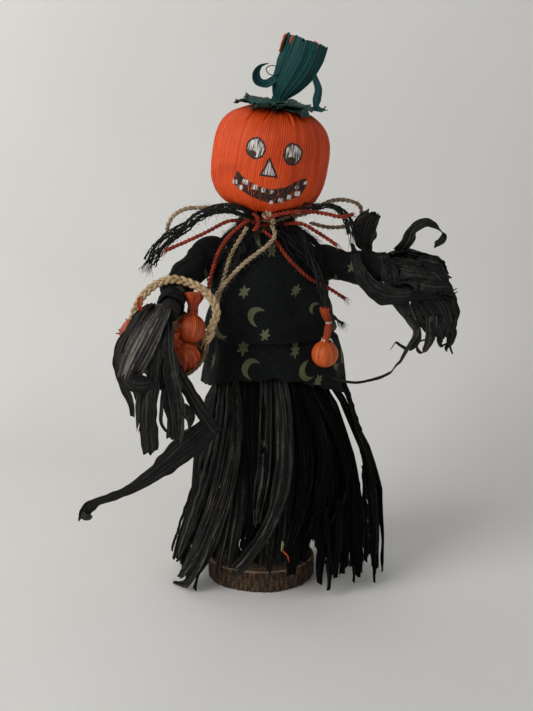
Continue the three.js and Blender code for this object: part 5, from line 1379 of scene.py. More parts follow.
flatWay, slantWay = (1, 0, 0), (1, 0, -0.6)
leftHand = {
    "outer": [
        {"route": [(-53.7, -51, 193.9), (-55.9, -58, 190), (-60.7, -64.5, 182.1), (-65.5, -68, 173.4),
                   (-69.8, -69.6, 165.3), (-73, -70, 158)],
         "hints": [flatWay, (1, 0, -0.3), (1, 0, -0.8), slantWay], "widths": [9, 12, 14.5, 15.5, 14, 11], "cuts": 2,
         "slot": 3, "tip": 0.9, "wave": (1, 0.7), "crumple": 0.5},
        {"route": [(-58.8, -50.5, 193.2), (-62.4, -55, 187.5), (-66.1, -58.6, 178.7), (-69, -61, 169),
                   (-69.7, -62.6, 159)],
         "hints": [flatWay, (1, -0.2, -0.3), (1, -0.2, 0)], "widths": [6, 8, 9, 9.5, 7], "cuts": 2, "slot": 2,
         "tip": 0.6, "wave": (1, 0.6)},
        {"route": [(-59.8, -50.5, 194.4), (-64.4, -55, 191.5), (-67.4, -59.5, 187), (-70.9, -62, 180.3),
                   (-74.3, -63.4, 174.4), (-76, -64, 167.6), (-74.7, -64.8, 159.2), (-72.6, -65, 149.9),
                   (-70.4, -65, 141.6), (-70.2, -65, 130.9)],
         "hints": [(1, -0.3, 0.5), (1, -0.4, 0.5), (1, -0.6, 0.2), flatWay, flatWay],
         "widths": [8, 9, 9, 8.6, 9, 10, 11, 10, 8, 4], "cuts": 2, "wave": (1.5, 0.5)},
        {"route": [(-76, -62.6, 163), (-73.6, -66.6, 158.2), (-69, -68.6, 154.6), (-62.4, -69, 153.4),
                   (-57.4, -66.6, 155.4)],
         "hints": [(0.3, 0, 1), (0, -0.2, 1), (0, -0.3, 1)], "widths": [5, 9, 11.5, 11, 6], "tip": 0.7,
         "wave": (1, 0.5)},
    ],
    "inner": [
        {"route": [(-54.7, -52.6, 185.9), (-56.3, -58.4, 182.1), (-57.1, -64, 172.2), (-58.5, -66.8, 159.5),
                   (-61, -67, 142.3), (-62.2, -66.4, 126.3), (-61.8, -65.4, 111.3)],
         "hints": [flatWay, (1, -0.3, 0), (1, 0.1, 0)], "widths": [8, 9, 9, 8.4, 8.6, 10, 9.6], "tip": 0.95,
         "tear": 1.4, "wave": (1, 0.6)},
        {"route": [(-52.8, -53, 186.9), (-51.3, -60, 181.2), (-50.9, -64.5, 171.5), (-50.4, -65.5, 160.8),
                   (-48.5, -65.4, 148.7), (-46.9, -64.8, 136.3), (-46.9, -64, 125.4), (-48.5, -63.4, 117.7)],
         "hints": [flatWay, (1, -0.3, 0), (1, -0.2, 0.1)], "widths": [7, 8, 9.5, 12.5, 13, 11.5, 9.6, 8.4],
         "tip": 0.95, "wave": (1.5, 0.6), "tear": 1.4, "crumple": 0.7},
        {"route": [(-45.2, -64, 139.5), (-41.6, -65, 137.1), (-38.7, -65.4, 132.6), (-39.5, -65, 126.5),
                   (-43.3, -64, 123.3)],
         "hints": [(1, 0.2, 0.3), (0.6, 0.6, 0.5), (0.2, 1, 0.2)], "widths": [5, 6, 6.4, 5.6, 3], "tip": 0.8,
         "wave": (1, 0.3), "tear": 1.4},
        {"route": [(-53, -65.6, 150), (-54.6, -67, 139), (-54.8, -67, 129.4), (-51.6, -67, 124.6),
                   (-48.2, -66.8, 128)],
         "hints": [flatWay, (1, 0.4, 0), (0.6, 0.6, 0.6)], "widths": [2.4, 2.2, 1.8, 1.6, 0.9], "wave": (1, 0.15)},
        {"route": [(-65, -65, 150), (-66.4, -66.8, 140), (-67, -67, 131), (-68.8, -66.4, 123.6)],
         "hints": [flatWay, flatWay], "widths": [5, 5.5, 4.4, 2], "cuts": 2, "tip": 0.3},
    ],
    "tail": [
        {"route": [(-51.5, -51.4, 190), (-50.9, -58, 181.4), (-49.7, -61.5, 170.9), (-45.8, -62.4, 159.6),
                   (-40, -61.4, 147.5), (-33.1, -59, 134.1), (-25.5, -56, 120.8)],
         "hints": [(0.4, 0.2, 1), flatWay, (1, 0, 0.3), (1, 0, 0.5)], "widths": [4, 4.6, 5.4, 6.4, 7.4, 8, 8],
         "tip": 0.85, "wave": (1, 0.6)},
        {"route": [(-52.6, -53, 187), (-51.5, -58.6, 175.8), (-49.2, -60, 164.6), (-43.9, -60, 152.3),
                   (-36.4, -58.6, 139.3)],
         "hints": [flatWay, (1, -0.4, 0), (1, -0.5, 0.3)], "widths": [4, 5, 6, 6, 3], "cuts": 2, "slot": 2,
         "tip": 0.4, "wave": (1, 0.5)},
        {"route": [(-23.8, -54.6, 125.1), (-30.7, -55, 120.4), (-38.3, -55.6, 113.9), (-45.8, -56.6, 107.5),
                   (-53.9, -58, 100.9), (-63.2, -59.4, 93.7), (-74.4, -60.4, 86.6), (-86.5, -61.6, 81.8),
                   (-93.5, -62, 79.5), (-98.3, -62, 76.3), (-101.4, -62, 72.2), (-103.1, -62, 68.3)],
         "hints": [(-0.4, -0.2, 1), (-0.6, -0.2, 0.8), (-0.5, -0.2, 1), (-0.3, -0.2, 1), (-0.3, -0.2, 1),
                   (-0.9, -0.2, 0.4)],
         "widths": [9, 15, 18, 17.5, 14, 10, 6.4, 5.2, 6, 8, 8.4, 6.2], "tip": 0.85, "wave": (1, 0.3),
         "crumple": 0.2},
        {"route": [(-103, -62.8, 71.9), (-100.6, -63.8, 70.5), (-97.7, -63.8, 70.2), (-95, -63.2, 69.2)],
         "hints": [(0.3, 0, 1), (0.2, 0.2, 1)], "widths": [5.5, 5, 3.6, 1.2], "slot": 1, "wave": (1, 0.3)},
    ],
}


# What a leaf of a hand takes where its row names nothing else
leafDefaults = {"cuts": 1, "slot": 0, "tip": 0.5, "wave": (1, 0.4), "cup": 0.12, "tear": 3.0, "splitAt": 0.55,
                "crumple": 0.45, "ragged": 0.35, "spacing": 0.8, "drift": (0.07, 0.12), "short": 0.14}


def addHandLeaf(shape, row, cutSeed, seed, **defaults):
    leaf = {**leafDefaults, **defaults, **row}
    splits = wholeLeaf(leaf["tip"])
    if leaf["cuts"] > 1:
        splits = sliverRow(leaf["cuts"], cutSeed, *leaf["drift"], leaf["tip"], short=leaf["short"])
    addLeaf(shape, leaf["route"], leaf["hints"], leaf["widths"], splits, thickness=0.55, waves=leaf["wave"],
            ragged=leaf["ragged"], seed=seed, spacing=leaf["spacing"], cup=leaf["cup"], splitAt=leaf["splitAt"],
            slot=leaf["slot"], column=0.5, crumple=leaf["crumple"], tear=leaf["tear"])


def makeHand(table, side, seed):
    for part, leaves in table.items():
        shape = Shape()
        for i, leaf in enumerate(leaves):
            number = seed + 7 * i + 31 * len(part)
            addHandLeaf(shape, leaf, number, number)
        name = f"hand_{side}_{part}"
        shape.build("leaf_" + name, handHusks, "arm_" + side, "black_husk", name)


makeHand(leftHand, "left", 400)
print("left hand")


# Right hand: a crumpled leaf, with a hook, a hanging leaf with curled ends, a tendril, a wrap and a tuft

rightHand = {
    "lower": [
        {"route": [(92.5, -16, 195.9), (96.7, -17.4, 188.9), (101.9, -18.4, 180.7), (106.7, -18.6, 172.2),
                   (109.2, -18, 165.2)],
         "hints": [(1, 0, 0.5), (1, 0, 0.35), (1, 0, 0.2)], "widths": [15, 20, 21.5, 18, 10], "tip": 0.6,
         "wave": (1, 0.9), "cup": 0.25, "crumple": 1.5},
        {"route": [(104.3, -15, 197.4), (109.8, -16, 189.8), (112.6, -16.4, 181.4), (112.7, -16.4, 172.8),
                   (111, -16, 165.3)],
         "hints": [(1, 0, 0.3), (1, 0.2, 0.1), (1, 0.3, 0)], "widths": [9, 12, 12, 10, 5], "wave": (1, 0.8),
         "cup": 0.2, "crumple": 1.1},
        {"route": [(100.9, -19.6, 179.2), (101, -20, 169.5), (99.6, -20, 162.1), (96.5, -20, 157.4),
                   (93.8, -20, 159.3), (94.9, -19.6, 162.6), (97.6, -19, 163.7), (100.4, -18.6, 162)],
         "hints": [(1, 0.2, 0.1), (0.8, 0.6, 0), (0.4, 1, 0), (0.3, 1, 0)],
         "widths": [7, 7, 6, 5, 4.4, 4, 3.4, 2.6], "slot": 1, "tip": 0.7, "wave": (1, 0.3)},
        {"route": [(108.7, -17.4, 171.2), (106.9, -18, 165.2), (108.3, -18, 160.6), (112.2, -17.6, 161.1),
                   (114, -17, 157.5)],
         "hints": [(1, 0.2, 0.2), (0.6, 0.8, 0), (0.7, 0.7, 0.2)], "widths": [6, 5, 4.6, 4.2, 2.6]},
        {"route": [(111.3, -15.4, 174.4), (114.6, -15.6, 167.6), (113.7, -15.6, 162), (111.5, -15.6, 158.3),
                   (112.8, -15.4, 155.1)],
         "hints": [(1, 0, 0.1), (1, 0.4, 0), (0.7, 0.8, 0)], "widths": [5, 6, 5, 3.4, 2]},
    ],
    "tendril": [
        {"route": [(78, -13.4, 195), (82.6, -17, 187), (88, -20.6, 178.6), (91.6, -26, 171.6), (86.4, -32, 163.4),
                   (75.2, -38, 149.8), (54.6, -42.6, 145.6), (41, -45, 149.4)],
         "hints": [(1, 0, 0.1), (1, 0, 0.3), (1, 0, 0.3), (0.6, 0, 1), (0.2, 0, 1)],
         "widths": [12, 10.4, 7, 3.6, 2.5, 1.8, 1.7, 1.9], "slot": 1, "tip": 0.7, "wave": (1, 0.25)},
        {"route": [(87.2, -20, 180), (92.2, -25, 174), (92.4, -28, 166.6), (87, -30.4, 162), (82.4, -31, 164.4),
                   (79, -31.4, 166.6), (76.4, -31.6, 163.2)],
         "hints": [(1, 0, 0.2), (1, 0.3, 0), (0.5, 1, 0.3)], "widths": [4, 3.6, 3, 2.6, 2.2, 1.8, 1.0],
         "wave": (1, 0.2)},
    ],
    "upper": [
        {"route": [(81.5, -16.4, 216.9), (83.5, -17.4, 220), (86.3, -17.6, 224.4), (87.8, -17.8, 229),
                   (91.4, -18, 232.8), (96.1, -18, 234.6), (100.7, -18, 233.1), (104.1, -18, 230.1),
                   (106.2, -18, 226.8), (105.2, -17.6, 223.9), (102.8, -17.2, 222.3)],
         "hints": [(1, 0.4, -0.3), (1, 0.3, -0.3), (0, -0.5, -1), (0.6, -0.5, -0.7), (1, -0.6, 0)],
         "widths": [8, 7.6, 7, 6.4, 5.4, 4.6, 4, 3.8, 4.2, 5, 4], "tip": 0.75},
        {"route": [(73, -21, 207), (82, -24.4, 207.6), (92, -26, 207), (102, -25, 204), (109.4, -20.4, 200)],
         "hints": [(0.1, -0.3, 1), (0.2, -0.35, 1), (-0.2, 0, 1), (-0.5, 0.2, 1)], "widths": [12, 18, 21, 20, 12],
         "tip": 0.75, "wave": (1, 0.9), "cup": 0.25, "crumple": 2.0},
        {"route": [(71.6, -20.6, 216), (73.6, -23, 210), (75.4, -24, 203), (75, -23.6, 197)],
         "hints": [flatWay, (1, -0.2, 0)], "widths": [6, 9, 10.4, 8], "cuts": 2, "tip": 0.7, "wave": (1, 0.6),
         "crumple": 0.7},
        {"route": [(92, -26, 210), (100, -26.6, 206), (105.6, -24.6, 199), (108.6, -21.6, 192.4)],
         "hints": [(0.6, -0.3, 1), (0.8, -0.2, 0.6)], "widths": [7, 10, 10, 6], "cuts": 2, "tip": 0.6,
         "wave": (1, 0.8), "crumple": 1.2},
        {"route": [(101, -20, 197), (107, -21, 195), (112, -20.4, 192.6), (114.6, -19.6, 193.6)],
         "hints": [(0.1, 0.2, 1), (0, 0.3, 1)], "widths": [6, 8, 6, 3], "cuts": 3, "tip": 0.4, "wave": (2, 0.9),
         "crumple": 0.9},
        {"route": [(73, -16, 215), (82, -18.4, 216), (93, -20.4, 215.4), (103, -20.6, 212), (108.6, -18.6, 206)],
         "hints": [(0, -0.8, 0.6), (0.1, -0.8, 0.6), (0, -0.6, 0.8)], "widths": [8, 12, 14, 13, 8], "tip": 0.7,
         "wave": (1, 0.9), "cup": 0.3, "crumple": 1.5},
        {"route": [(72, -19.4, 196), (82, -22, 194), (93, -23.4, 194.4), (103, -22, 195.6), (108, -18.6, 198)],
         "hints": [(0, 0.5, 1), (0, 0.4, 1), (0, 0.4, 1)], "widths": [8, 10, 10, 9, 5], "tip": 0.6,
         "wave": (1, 0.9), "cup": 0.2, "crumple": 0.9},
        {"route": [(100, -19, 202), (105, -20.6, 201), (109.4, -20.6, 197), (111.8, -20.2, 193), (113.4, -20, 190)],
         "hints": [(0.3, 0, 1), (1, 0.3, 0.6), (1, 0.2, 0.3)], "widths": [6, 7, 6, 4, 1.4], "cuts": 2, "tip": 0.4},
        {"route": [(77, -8, 212), (88, -6.4, 213), (98, -8.6, 210.6), (106, -12, 206)],
         "hints": [(0, 1, 0.3), (0, 1, 0.2)], "widths": [8, 13, 12, 6], "cuts": 3, "wave": (2, 0.6)},
        {"route": [(77, -6, 202), (88, -5, 201), (98, -8, 200.4), (105, -12, 200)],
         "hints": [(0, 0.2, 1), (0, 0.1, 1)], "widths": [9, 14, 13, 7], "cuts": 3, "slot": 1, "wave": (2, 0.6)},
    ],
}


def addCrumple(shape):
    wrist = np.array([73, -9.5, 203.5])
    shares = [(0.03, -0.014, 0.014), (0.301, -0.079, 0.03), (0.574, -0.139, 0.025), (0.82, -0.178, -0.014),
              (1, -0.205, -0.052)]
    route = [wrist + 36.6 * np.array(s) for s in shares]
    shares = np.linspace(0, 1, 90)
    angle, t = ringAngles(130), shares[:, None]
    folds = 2.0 * layeredNoise(np.cos(angle) * 1.5 + 9, np.sin(angle) * 1.5 + t * 2.6)
    crease = -3.0 * np.clip(roughSheet(np.cos(angle) * 3.2 + t * 1.2, np.sin(angle) * 3.2 + t * 2) - 0.15, 0, 1)
    ribs = 0.2 * np.sin(angle * 42 + 3 * roughSheet(t * 4, angle))
    lift = (folds + crease + ribs) * rampUp(t, 0, 0.12) - 0.5
    close = np.where(t > 0.93, (1 - t) / 0.07 * 0.6 + 0.4, 1)
    tall, deep = valuesAlong([9.6, 11.6, 11.6, 10, 5], shares)[:, None], valuesAlong([8.4, 9, 8.4, 7, 3.6], shares)[
        :, None]
    points = curvePoints(route, shares)
    along = tangentsOf(points)
    side = unit(np.cross(up, along))
    front = np.cross(along, side)
    ring = (points[:, None] + side[:, None] * ((deep + lift) * close * np.sin(angle))[..., None]
            + front[:, None] * ((tall + lift) * close * np.cos(angle))[..., None])
    shape.grid(ring, together(angle * 10, t * 38), wrap=True)


def makeRightUpper():
    shape = Shape()
    addCrumple(shape)
    for i, leaf in enumerate(rightHand["upper"]):
        addHandLeaf(shape, leaf, 500 + i, 520 + 9 * i, drift=(0.05, 0.08), short=0.1, ragged=0.5, spacing=0.7,
                    splitAt=0.5, crumple=0.5)
    shape.build("leaf_hand_right_upper", handHusks, "arm_right", "black_husk", "hand_right_upper")


makeRightUpper()
makeHand({key: rightHand[key] for key in ("lower", "tendril")}, "right", 560)


def makeWrapAndTuft():
    route = [(54, -9, 220), (55, -15, 217.6), (56.4, -19.4, 211), (60.6, -22.6, 202.6), (68.4, -25, 195.4),
             (78.6, -26, 192.6),
             (88, -26, 194.2), (96, -25, 197.6)]
    shape = Shape()
    addLeaf(shape, route, [(1, 0, 0.1), (1, 0, 0.2), (0.7, 0, 0.7), (0.2, 0, 1), (-0.2, 0, 1)],
            [1.6, 3.6, 6.6, 10, 12.6, 11, 8, 5],
            wholeLeaf(0.6), waves=(1, 0.4), ragged=0.4, seed=610, spacing=0.6, column=0.5, cup=0.08,
            slot=0, crumple=0.8)
    shape.build("leaf_sleeve_wrap", handHusks, "arm_right", "black_husk", "sleeve_wrap_right")
    foot = armPlace(arms["right"], 38.0, 0.0, float(sleeveRadius(arms["right"], 38.0)) + 0.5)[0]
    tuft = Shape()
    for i, (lean, deep, hint, widths, cup) in enumerate([
            (0.0, -2.6, (1, 0.2, 0.2), [5, 10.5, 13, 14, 11.5], 0.35),
            (-2.2, 0.6, (0.5, 1, 0), [2.4, 6, 9, 10, 8], 0.4),
            (2.8, 0.4, (0.6, -1, 0.1), [2.4, 6, 8.4, 9, 6], 0.4),
            (0.8, 2.4, (1, -0.2, 0.3), [2, 7, 10, 11, 9], -0.3)]):
        route = [foot + np.array(p) for p in [
            (0.2 * lean - 0.4, 0, -0.2), (-3 + 0.6 * lean, 0.5 * deep, 4.6), (-3.4 + lean, deep, 11.4),
            (-1.6 + lean, 0.8 * deep - 0.4, 17.6), (1.6 + 0.6 * lean, 0.3 * deep - 1, 21.6)]]
        addLeaf(tuft, route, [hint, hint], widths, waves=(1.5, 0.4), ragged=0.3, seed=630 + i, spacing=0.7,
                column=0.6, cup=cup, slot=i % 2, splits=wholeLeaf(0.8), crumple=0.5)
    tuft.build("leaf_tuft_right", handHusks, "arm_right", "black_husk", "tuft_right")


makeWrapAndTuft()
print("right hand")


# Basket: a bowl of coiled husk, its braided handle and three husk pumpkins

basketPivot = np.array([-50.0, -38.0, 193.0])
bowlCentre = basketPivot + np.array([-1.6, -4, -24.5])
bowlTilt = math.radians(50)
bowlAxis = np.array([0, -math.sin(bowlTilt), math.cos(bowlTilt)])
bowlSide = np.array([0, -math.cos(bowlTilt), -math.sin(bowlTilt)])
bowlSizes = {"radius": 22, "depth": 11, "wall": 1.8, "handle": 2.7}


def bowlPlace(radius, axial, angle):
    around = spoke(np.array([1, 0, 0]), bowlSide, angle)
    return bowlCentre + around * np.asarray(radius)[..., None] + bowlAxis * np.asarray(axial)[..., None]


def makeBowl():
    shape = Shape()
    share, angle = np.broadcast_arrays(np.linspace(0.02, 0.985, 60)[:, None], ringAngles(200))
    coil = 0.5 * np.abs(np.sin(share * 7.5 * np.pi + angle / 2)) - 0.5
    stitch = 0.22 * np.sin(angle * 46 + share * 40) * np.clip(share * 2, 0, 1)
    lift = coil + stitch + 0.2 * roughSheet(angle * 5, share * 12)
    outerDepth = bowlSizes["depth"] + lift
    innerDepth = bowlSizes["depth"] - bowlSizes["wall"] - lift * 0.6
    outer = bowlPlace((bowlSizes["radius"] + lift * share) * share, -outerDepth * np.sqrt(1 - share ** 2), angle)
    inner = bowlPlace((bowlSizes["radius"] - bowlSizes["wall"]) * share, -innerDepth * np.sqrt(1 - share ** 2), angle)
    shape.shell(outer, inner, together(share * 30, angle * 20))
    turn = np.linspace(0, 2 * np.pi, 260)
    rim = bowlPlace(np.full(260, bowlSizes["radius"] - 0.9), np.full(260, -0.5), turn)
    addYarn(shape, rim, 1.35, plies=3, pitch=9.0, sides=8, thick=0.55)
    return shape


makeBowl().build("bowlCoils", bowlHusk, "basket", "bowl_husk", "basket_bowl")


def handleRoute():
    overArm = lambda share, y, z: basketPivot + np.array([share * bowlSizes["radius"], y, z])
    rim = bowlSizes["radius"] - bowlSizes["wall"] / 2
    foot = lambda side: bowlCentre + np.array([side * rim, 0, 0]) + bowlAxis * bowlSizes["handle"] * 0.9
    return [foot(-1), foot(-1) + [0, -1.4, 7], overArm(-0.982, -2.6, -8), overArm(-0.773, 0, 2),
            overArm(-0.436, 0, 9), overArm(-0.027, 0, 12.6), overArm(0.482, 0, 10.4), overArm(0.936, 0, 4),
            overArm(1.164, -1, -6), foot(1) + [3.2, 1, 8.4], foot(1)]


def makeHandle():
    shape = Shape()
    points, _, travelled = evenPath(handleRoute(), 0.45)
    _, side, normal = easyFrames(points, (0, 0, 1))
    for strand in range(3):
        turn = 2 * np.pi * (travelled / 12.0 + strand / 3)
        centre = points + side * (0.7 * np.sin(2 * turn))[:, None] + normal * (1.5 * np.sin(turn))[:, None]
        for fibre in range(4):
            spin = turn * 1.3 + fibre * np.pi / 2
            offset = side * (0.62 * np.cos(spin))[:, None] + normal * (0.5 * np.sin(spin))[:, None]
            width = 0.72 * (1 + 0.15 * roughLine(travelled / 4, strand * 4 + fibre))
            addTube(shape, centre + offset, width, sides=7, flat=0.75)
    for part, seed in ((points[:22], 62), (points[-26:][::-1], 155)):
        path = part + np.array([0, -0.4, 0])
        fraySpray(shape, path[::-1], 2.2, 12, 6.5, 0.28, seed, spread=0.3, droop=0.1)
        binding = [part[8 + k] + 3.0 * (side[8] * math.cos(a) + normal[8] * math.sin(a)) for k, a in
                   zip(np.linspace(0, 6, 60).astype(int), np.linspace(0, 6 * np.pi, 60))]
        addTube(shape, np.stack(binding), 0.5, sides=6)
    return shape


makeHandle().build("handleBraid", braidHusk, "basket", "braid", "basket_handle")


# A husk drawn over a ball and tied: its neck spreads into a frayed knob.
def huskBall(shape, centre, toKnob, radius, neck, seed, knob=8.6, ribs=34, tuft=True, crest=(1.75, 2.0, 1.5, 0.7),
             wrinkle=0.0, bow=0.0):
    axis = unit(np.array(toKnob, float))
    side = unit(np.cross(axis, [0.3, 1, 0.2]))
    other = np.cross(axis, side)
    angle = ringAngles(150)
    polar, steps = np.linspace(0.03, math.pi - 0.34, 80), np.linspace(0, 1, 30)[1:]
    out, rise = radius * np.sin(polar), -radius * np.cos(polar)
    knobOut = np.interp(steps, [0, 0.22, 0.4, 0.62, 0.8, 0.93, 1],
                        [out[-1], neck, neck * 0.95, *(neck * np.array(crest))])
    knobRise = rise[-1] + (radius + knob - rise[-1]) * steps
    out, rise = np.concatenate([out, knobOut])[:, None], np.concatenate([rise, knobRise])[:, None]
    along = np.linspace(0, 1, len(out))[:, None]
    gather = rampUp(along, 0.5, 0.72)
    relief = (0.05 + 0.1 * gather) * np.sin(ribs * angle + 2 * roughSheet(angle * 3, along * 2 + seed))
    relief = relief + gather * 0.35 * roughSheet(angle * 12 / np.pi + seed, along * 2.5) - 0.5 * gather * np.clip(
        roughSheet(angle * 9 / np.pi + seed * 2, along * 2) - 0.2, 0, 1)
    relief = relief + 0.16 * roughSheet(angle * 1.5, along * 3 + seed)
    relief = relief + wrinkle * (1 - 2 * np.abs(roughSheet(np.sin(angle) * 3 + seed, along * 5 + np.cos(angle) * 2)))
    wide = np.maximum(out + relief * np.clip(out / neck, 0, 1), 0.05)
    ring = np.array(centre) + spoke(side, other, angle) * wide[..., None] + axis * rise[..., None]
    ring[..., 0] += bow * np.sin(np.pi / 2 * np.clip((rise - radius) / knob, 0, 1))
    shape.grid(ring, together(angle * radius, along * radius * 4), wrap=True)
    if tuft:
        random = np.random.RandomState(seed)
        top = np.array(centre) + axis * (radius + knob * 0.6)
        for i in range(14):
            turn = 2 * np.pi * i / 14 + random.uniform(-0.2, 0.2)
            way = spoke(side, other, turn)
            route = [top + way * neck * 0.9 - axis * 2, top + way * neck * 1.7 + axis * 1.5,
                     top + way * neck * random.uniform(1.8, 2.4) + axis * random.uniform(2.5, 4.5)]
            cross = np.cross(axis, way)
            addLeaf(shape, route, [cross, cross], [1.8, 2.8, 1.8], thickness=0.4, waves=(1, 0.2), seed=seed * 3 + i,
                    spacing=0.5, column=0.5, splits=wholeLeaf(0.4))
    return axis


def threadRing(shape, centre, axis, radius, turns, thick=0.26, slot=0):
    side = unit(np.cross(axis, [0.3, 1, 0.2]))
    other = np.cross(axis, side)
    angle = np.linspace(0, 2 * np.pi * turns, 30 * turns)
    line = centre + spoke(side, other, angle) * radius + axis * (
        (angle / angle[-1] - 0.5) * thick * 2.4 * turns)[:, None]
    addTube(shape, line, thick, sides=6, slot=slot)


pumpkins = {
    "pumpkin_1": ((0.573, -0.118, 0.45), (0.1, 0.5, 0.95), 8.3, 21, 12.5, 0.12),
    "pumpkin_2": ((0.4, -0.3, -0.25), (-0.5, -0.3, 0.86), 8.2, 22, 8, 1.4),
    "pumpkin_3": ((-0.482, -0.227, 0.132), (-0.85, -0.3, 0.62), 8.3, 23, 9.4, 0.3),
}
for name, (share, toKnob, radius, seed, knob, wrinkle) in pumpkins.items():
    shape = Shape()
    centre = bowlCentre + bowlSizes["radius"] * np.array(share)
    axis = huskBall(shape, centre, toKnob, radius, radius * 0.32, seed, knob=knob, crest=(1.3, 1.8, 2.1, 1.5),
                    wrinkle=wrinkle)
    threadRing(shape, centre + axis * (radius + 1.8), axis, radius * 0.32 + 0.2, turns=2, thick=0.2)
    pumpkin = shape.build("husk_" + name, basketHusk, "basket", "orange_husk", name)
shred = Shape()
addLeaf(shred, [(-65.9, -52, 190.7), (-66.5, -52.4, 194.3), (-66.1, -52, 197.6), (-65.3, -51.6, 199)],
        [flatWay, flatWay], [2.0, 3.0, 2.6, 1.8], seed=77, spacing=0.5, column=0.4, tear=1.4, splits=wholeLeaf(0.9))
shred.build("huskShred", basketHusk, "basket", "orange_husk")
print("basket")


# Husk ball that hangs from the black yarn; its wrap bows a little to the right

pendantX, pendantY, pendantTop, pendantBow = 38.0, -31.5, 187.8, 2.0
wrapLength, pendantRadius, pendantKnob = 9.2, 7.8, 11


def makePendant():
    wrap = Shape()
    angle, t = ringAngles(120), np.linspace(0, 1, 60)[:, None]
    wide = np.interp(t, [0, 0.06, 0.3, 0.62, 0.9, 1], [2.7, 3.3, 3.0, 2.4, 1.7, 1.5])
    ribs = 0.22 * np.sin(angle * 17 + roughSheet(angle * 2, t * 2)) + 0.16 * roughSheet(angle * 5, t * 5)
    ragged = 0.5 * roughLine(angle * 6, 3) * rampUp(t, 0.3, 0)
    z = pendantTop - wrapLength * t + ragged - 0.4
    radius = np.maximum(wide + ribs, 0.3)
    middleX = pendantX + pendantBow * t ** 2
    wall = lambda reach: together(middleX + reach * np.cos(angle), pendantY + reach * np.sin(angle), z)
    wrap.shell(wall(radius), wall(np.maximum(radius - 0.7, 0.15)), together(angle * 3, t * 9))
    middle = np.array([pendantX + pendantBow, pendantY, pendantTop - 9])
    threadRing(wrap, middle, up, 1.75, turns=2, slot=1)
    down = np.linspace(0.4, 9, 12)
    addTube(wrap, together(pendantX + pendantBow * (down / 9) ** 2, pendantY, pendantTop - down), 1.3)
    wrap.build("pendantWrap", [wrapHusk, threadYarn], "pendant_link", "orange_husk", "pendant_wrap")

    ball = Shape()
    centre = np.array([pendantX, pendantY, pendantTop - wrapLength - 0.3 - 11.5 - pendantRadius + 0.4])
    huskBall(ball, centre, (0, 0, 1), pendantRadius, 1.5, 37, knob=pendantKnob, ribs=46, tuft=False,
             crest=(1.25, 1.3, 1.05, 0.9), bow=pendantBow)
    threadRing(ball, centre + up * 8.8, up, 1.95, turns=2, slot=1)
    for i in range(5):
        turn = 2 * np.pi * i / 5
        way = np.array([math.cos(turn), math.sin(turn), 0])
        cross = np.array([-way[1], way[0], 0])
        route = []
        for z, reach in ((18.6, 1.6), (15.4, 1.9), (12, 1.75), (9.4, 1.9), (7.6, 2.9)):
            bent = math.sin(math.pi / 2 * min(max((z - pendantRadius) / pendantKnob, 0), 1))
            route.append(centre + up * z + way * reach + np.array([pendantBow * bent, 0, 0]))
        addLeaf(ball, route, [cross, cross], [1.9, 2.3, 2.2, 2.4, 2.0], thickness=0.35, waves=(1, 0.15), seed=650 + i,
                spacing=0.5, column=0.4, slot=2, tear=0.8)
    knot = np.array([centre + up * 9.0 + p for p in [(2.4, -0.8, 0), (3.2, -1.6, 0.6), (4.0, -1.4, -0.6),
                                                     (4.6, -1.0, -1.8)]])
    addTube(ball, evenPath(knot, 0.4)[0], 0.3, sides=6, slot=1)
    tassel = Shape()
    for i in range(5):
        lean = np.array([0.4 * i - 0.8, 0.3 * (i % 2), 0])
        path = evenPath([np.array(p) + lean * (0.4 + 0.2 * j) for j, p in enumerate(
            [(39.6, -32.4, 188.6), (41.4, -34.6, 185), (43.4, -35.4, 182), (46.4, -35, 179.4)])], 0.5)[0]
        path = shaken(path, lengthsAlong(path) / 4, 0.4, 5 * i)
        addYarn(tassel, path, 0.42, 2, 3.0, i, 5)
        fraySpray(tassel, path, 0.8, 13, 5.5, 0.11, 720 + i, spread=0.7, droop=0.2)
    tassel.build("yarnTassel", blackYarn, "pendant_link", "black_yarn")
    piece = ball.build("pendantBall", [orangeHusk, threadYarn, wrapHusk], "pendant_ball_body", "orange_husk",
                       "pendant_ball")


makePendant()


# Log slice

logSlice = {"halfWidth": 34.5, "halfDepth": 27, "height": 15, "bark": 2.3}


def makeBark():
    shape = Shape()
    angle, t = ringAngles(520, -np.pi), np.linspace(0, 1, 46)[:, None]
    wobble = 1 + 0.012 * np.sin(2 * angle + 0.6) + 0.0096 * np.sin(5 * angle)
    z = logSlice["height"] * (1 - t)
    plates = np.abs(roughSheet(angle * 9, z / 9 + 2)) ** 0.6
    cracks = 0.8 * plates + 0.35 * layeredNoise(angle * 24, z / 3.2) - 0.6
    edge = -0.5 * rampUp(t, 0.05, 0) - 0.9 * rampUp(t, 0.9, 1)
    grooves = 0.35 * roughSheet(angle * 40, z / 26) + 0.2 * roughSheet(angle * 95, z / 14 + 5)
    lift = 0.55 * cracks + grooves + edge
    place = lambda inset: together((logSlice["halfWidth"] * wobble - inset) * np.sin(angle),
                                   -(logSlice["halfDepth"] * wobble - inset) * np.cos(angle), z)
    raised = cracks + 2.2 * rampUp(t + 0.012 * roughSheet(angle * 6, 2.0), 0.1, 0.05)
    uv = together(angle * 31, z)
    shape.grid(np.concatenate([place(-lift), place(logSlice["bark"])[::-1]]), np.concatenate([uv, uv[::-1]]),
               wrap=True, loop=True, plates=np.concatenate([raised, np.full(raised.shape, 1.5)]))
    return shape


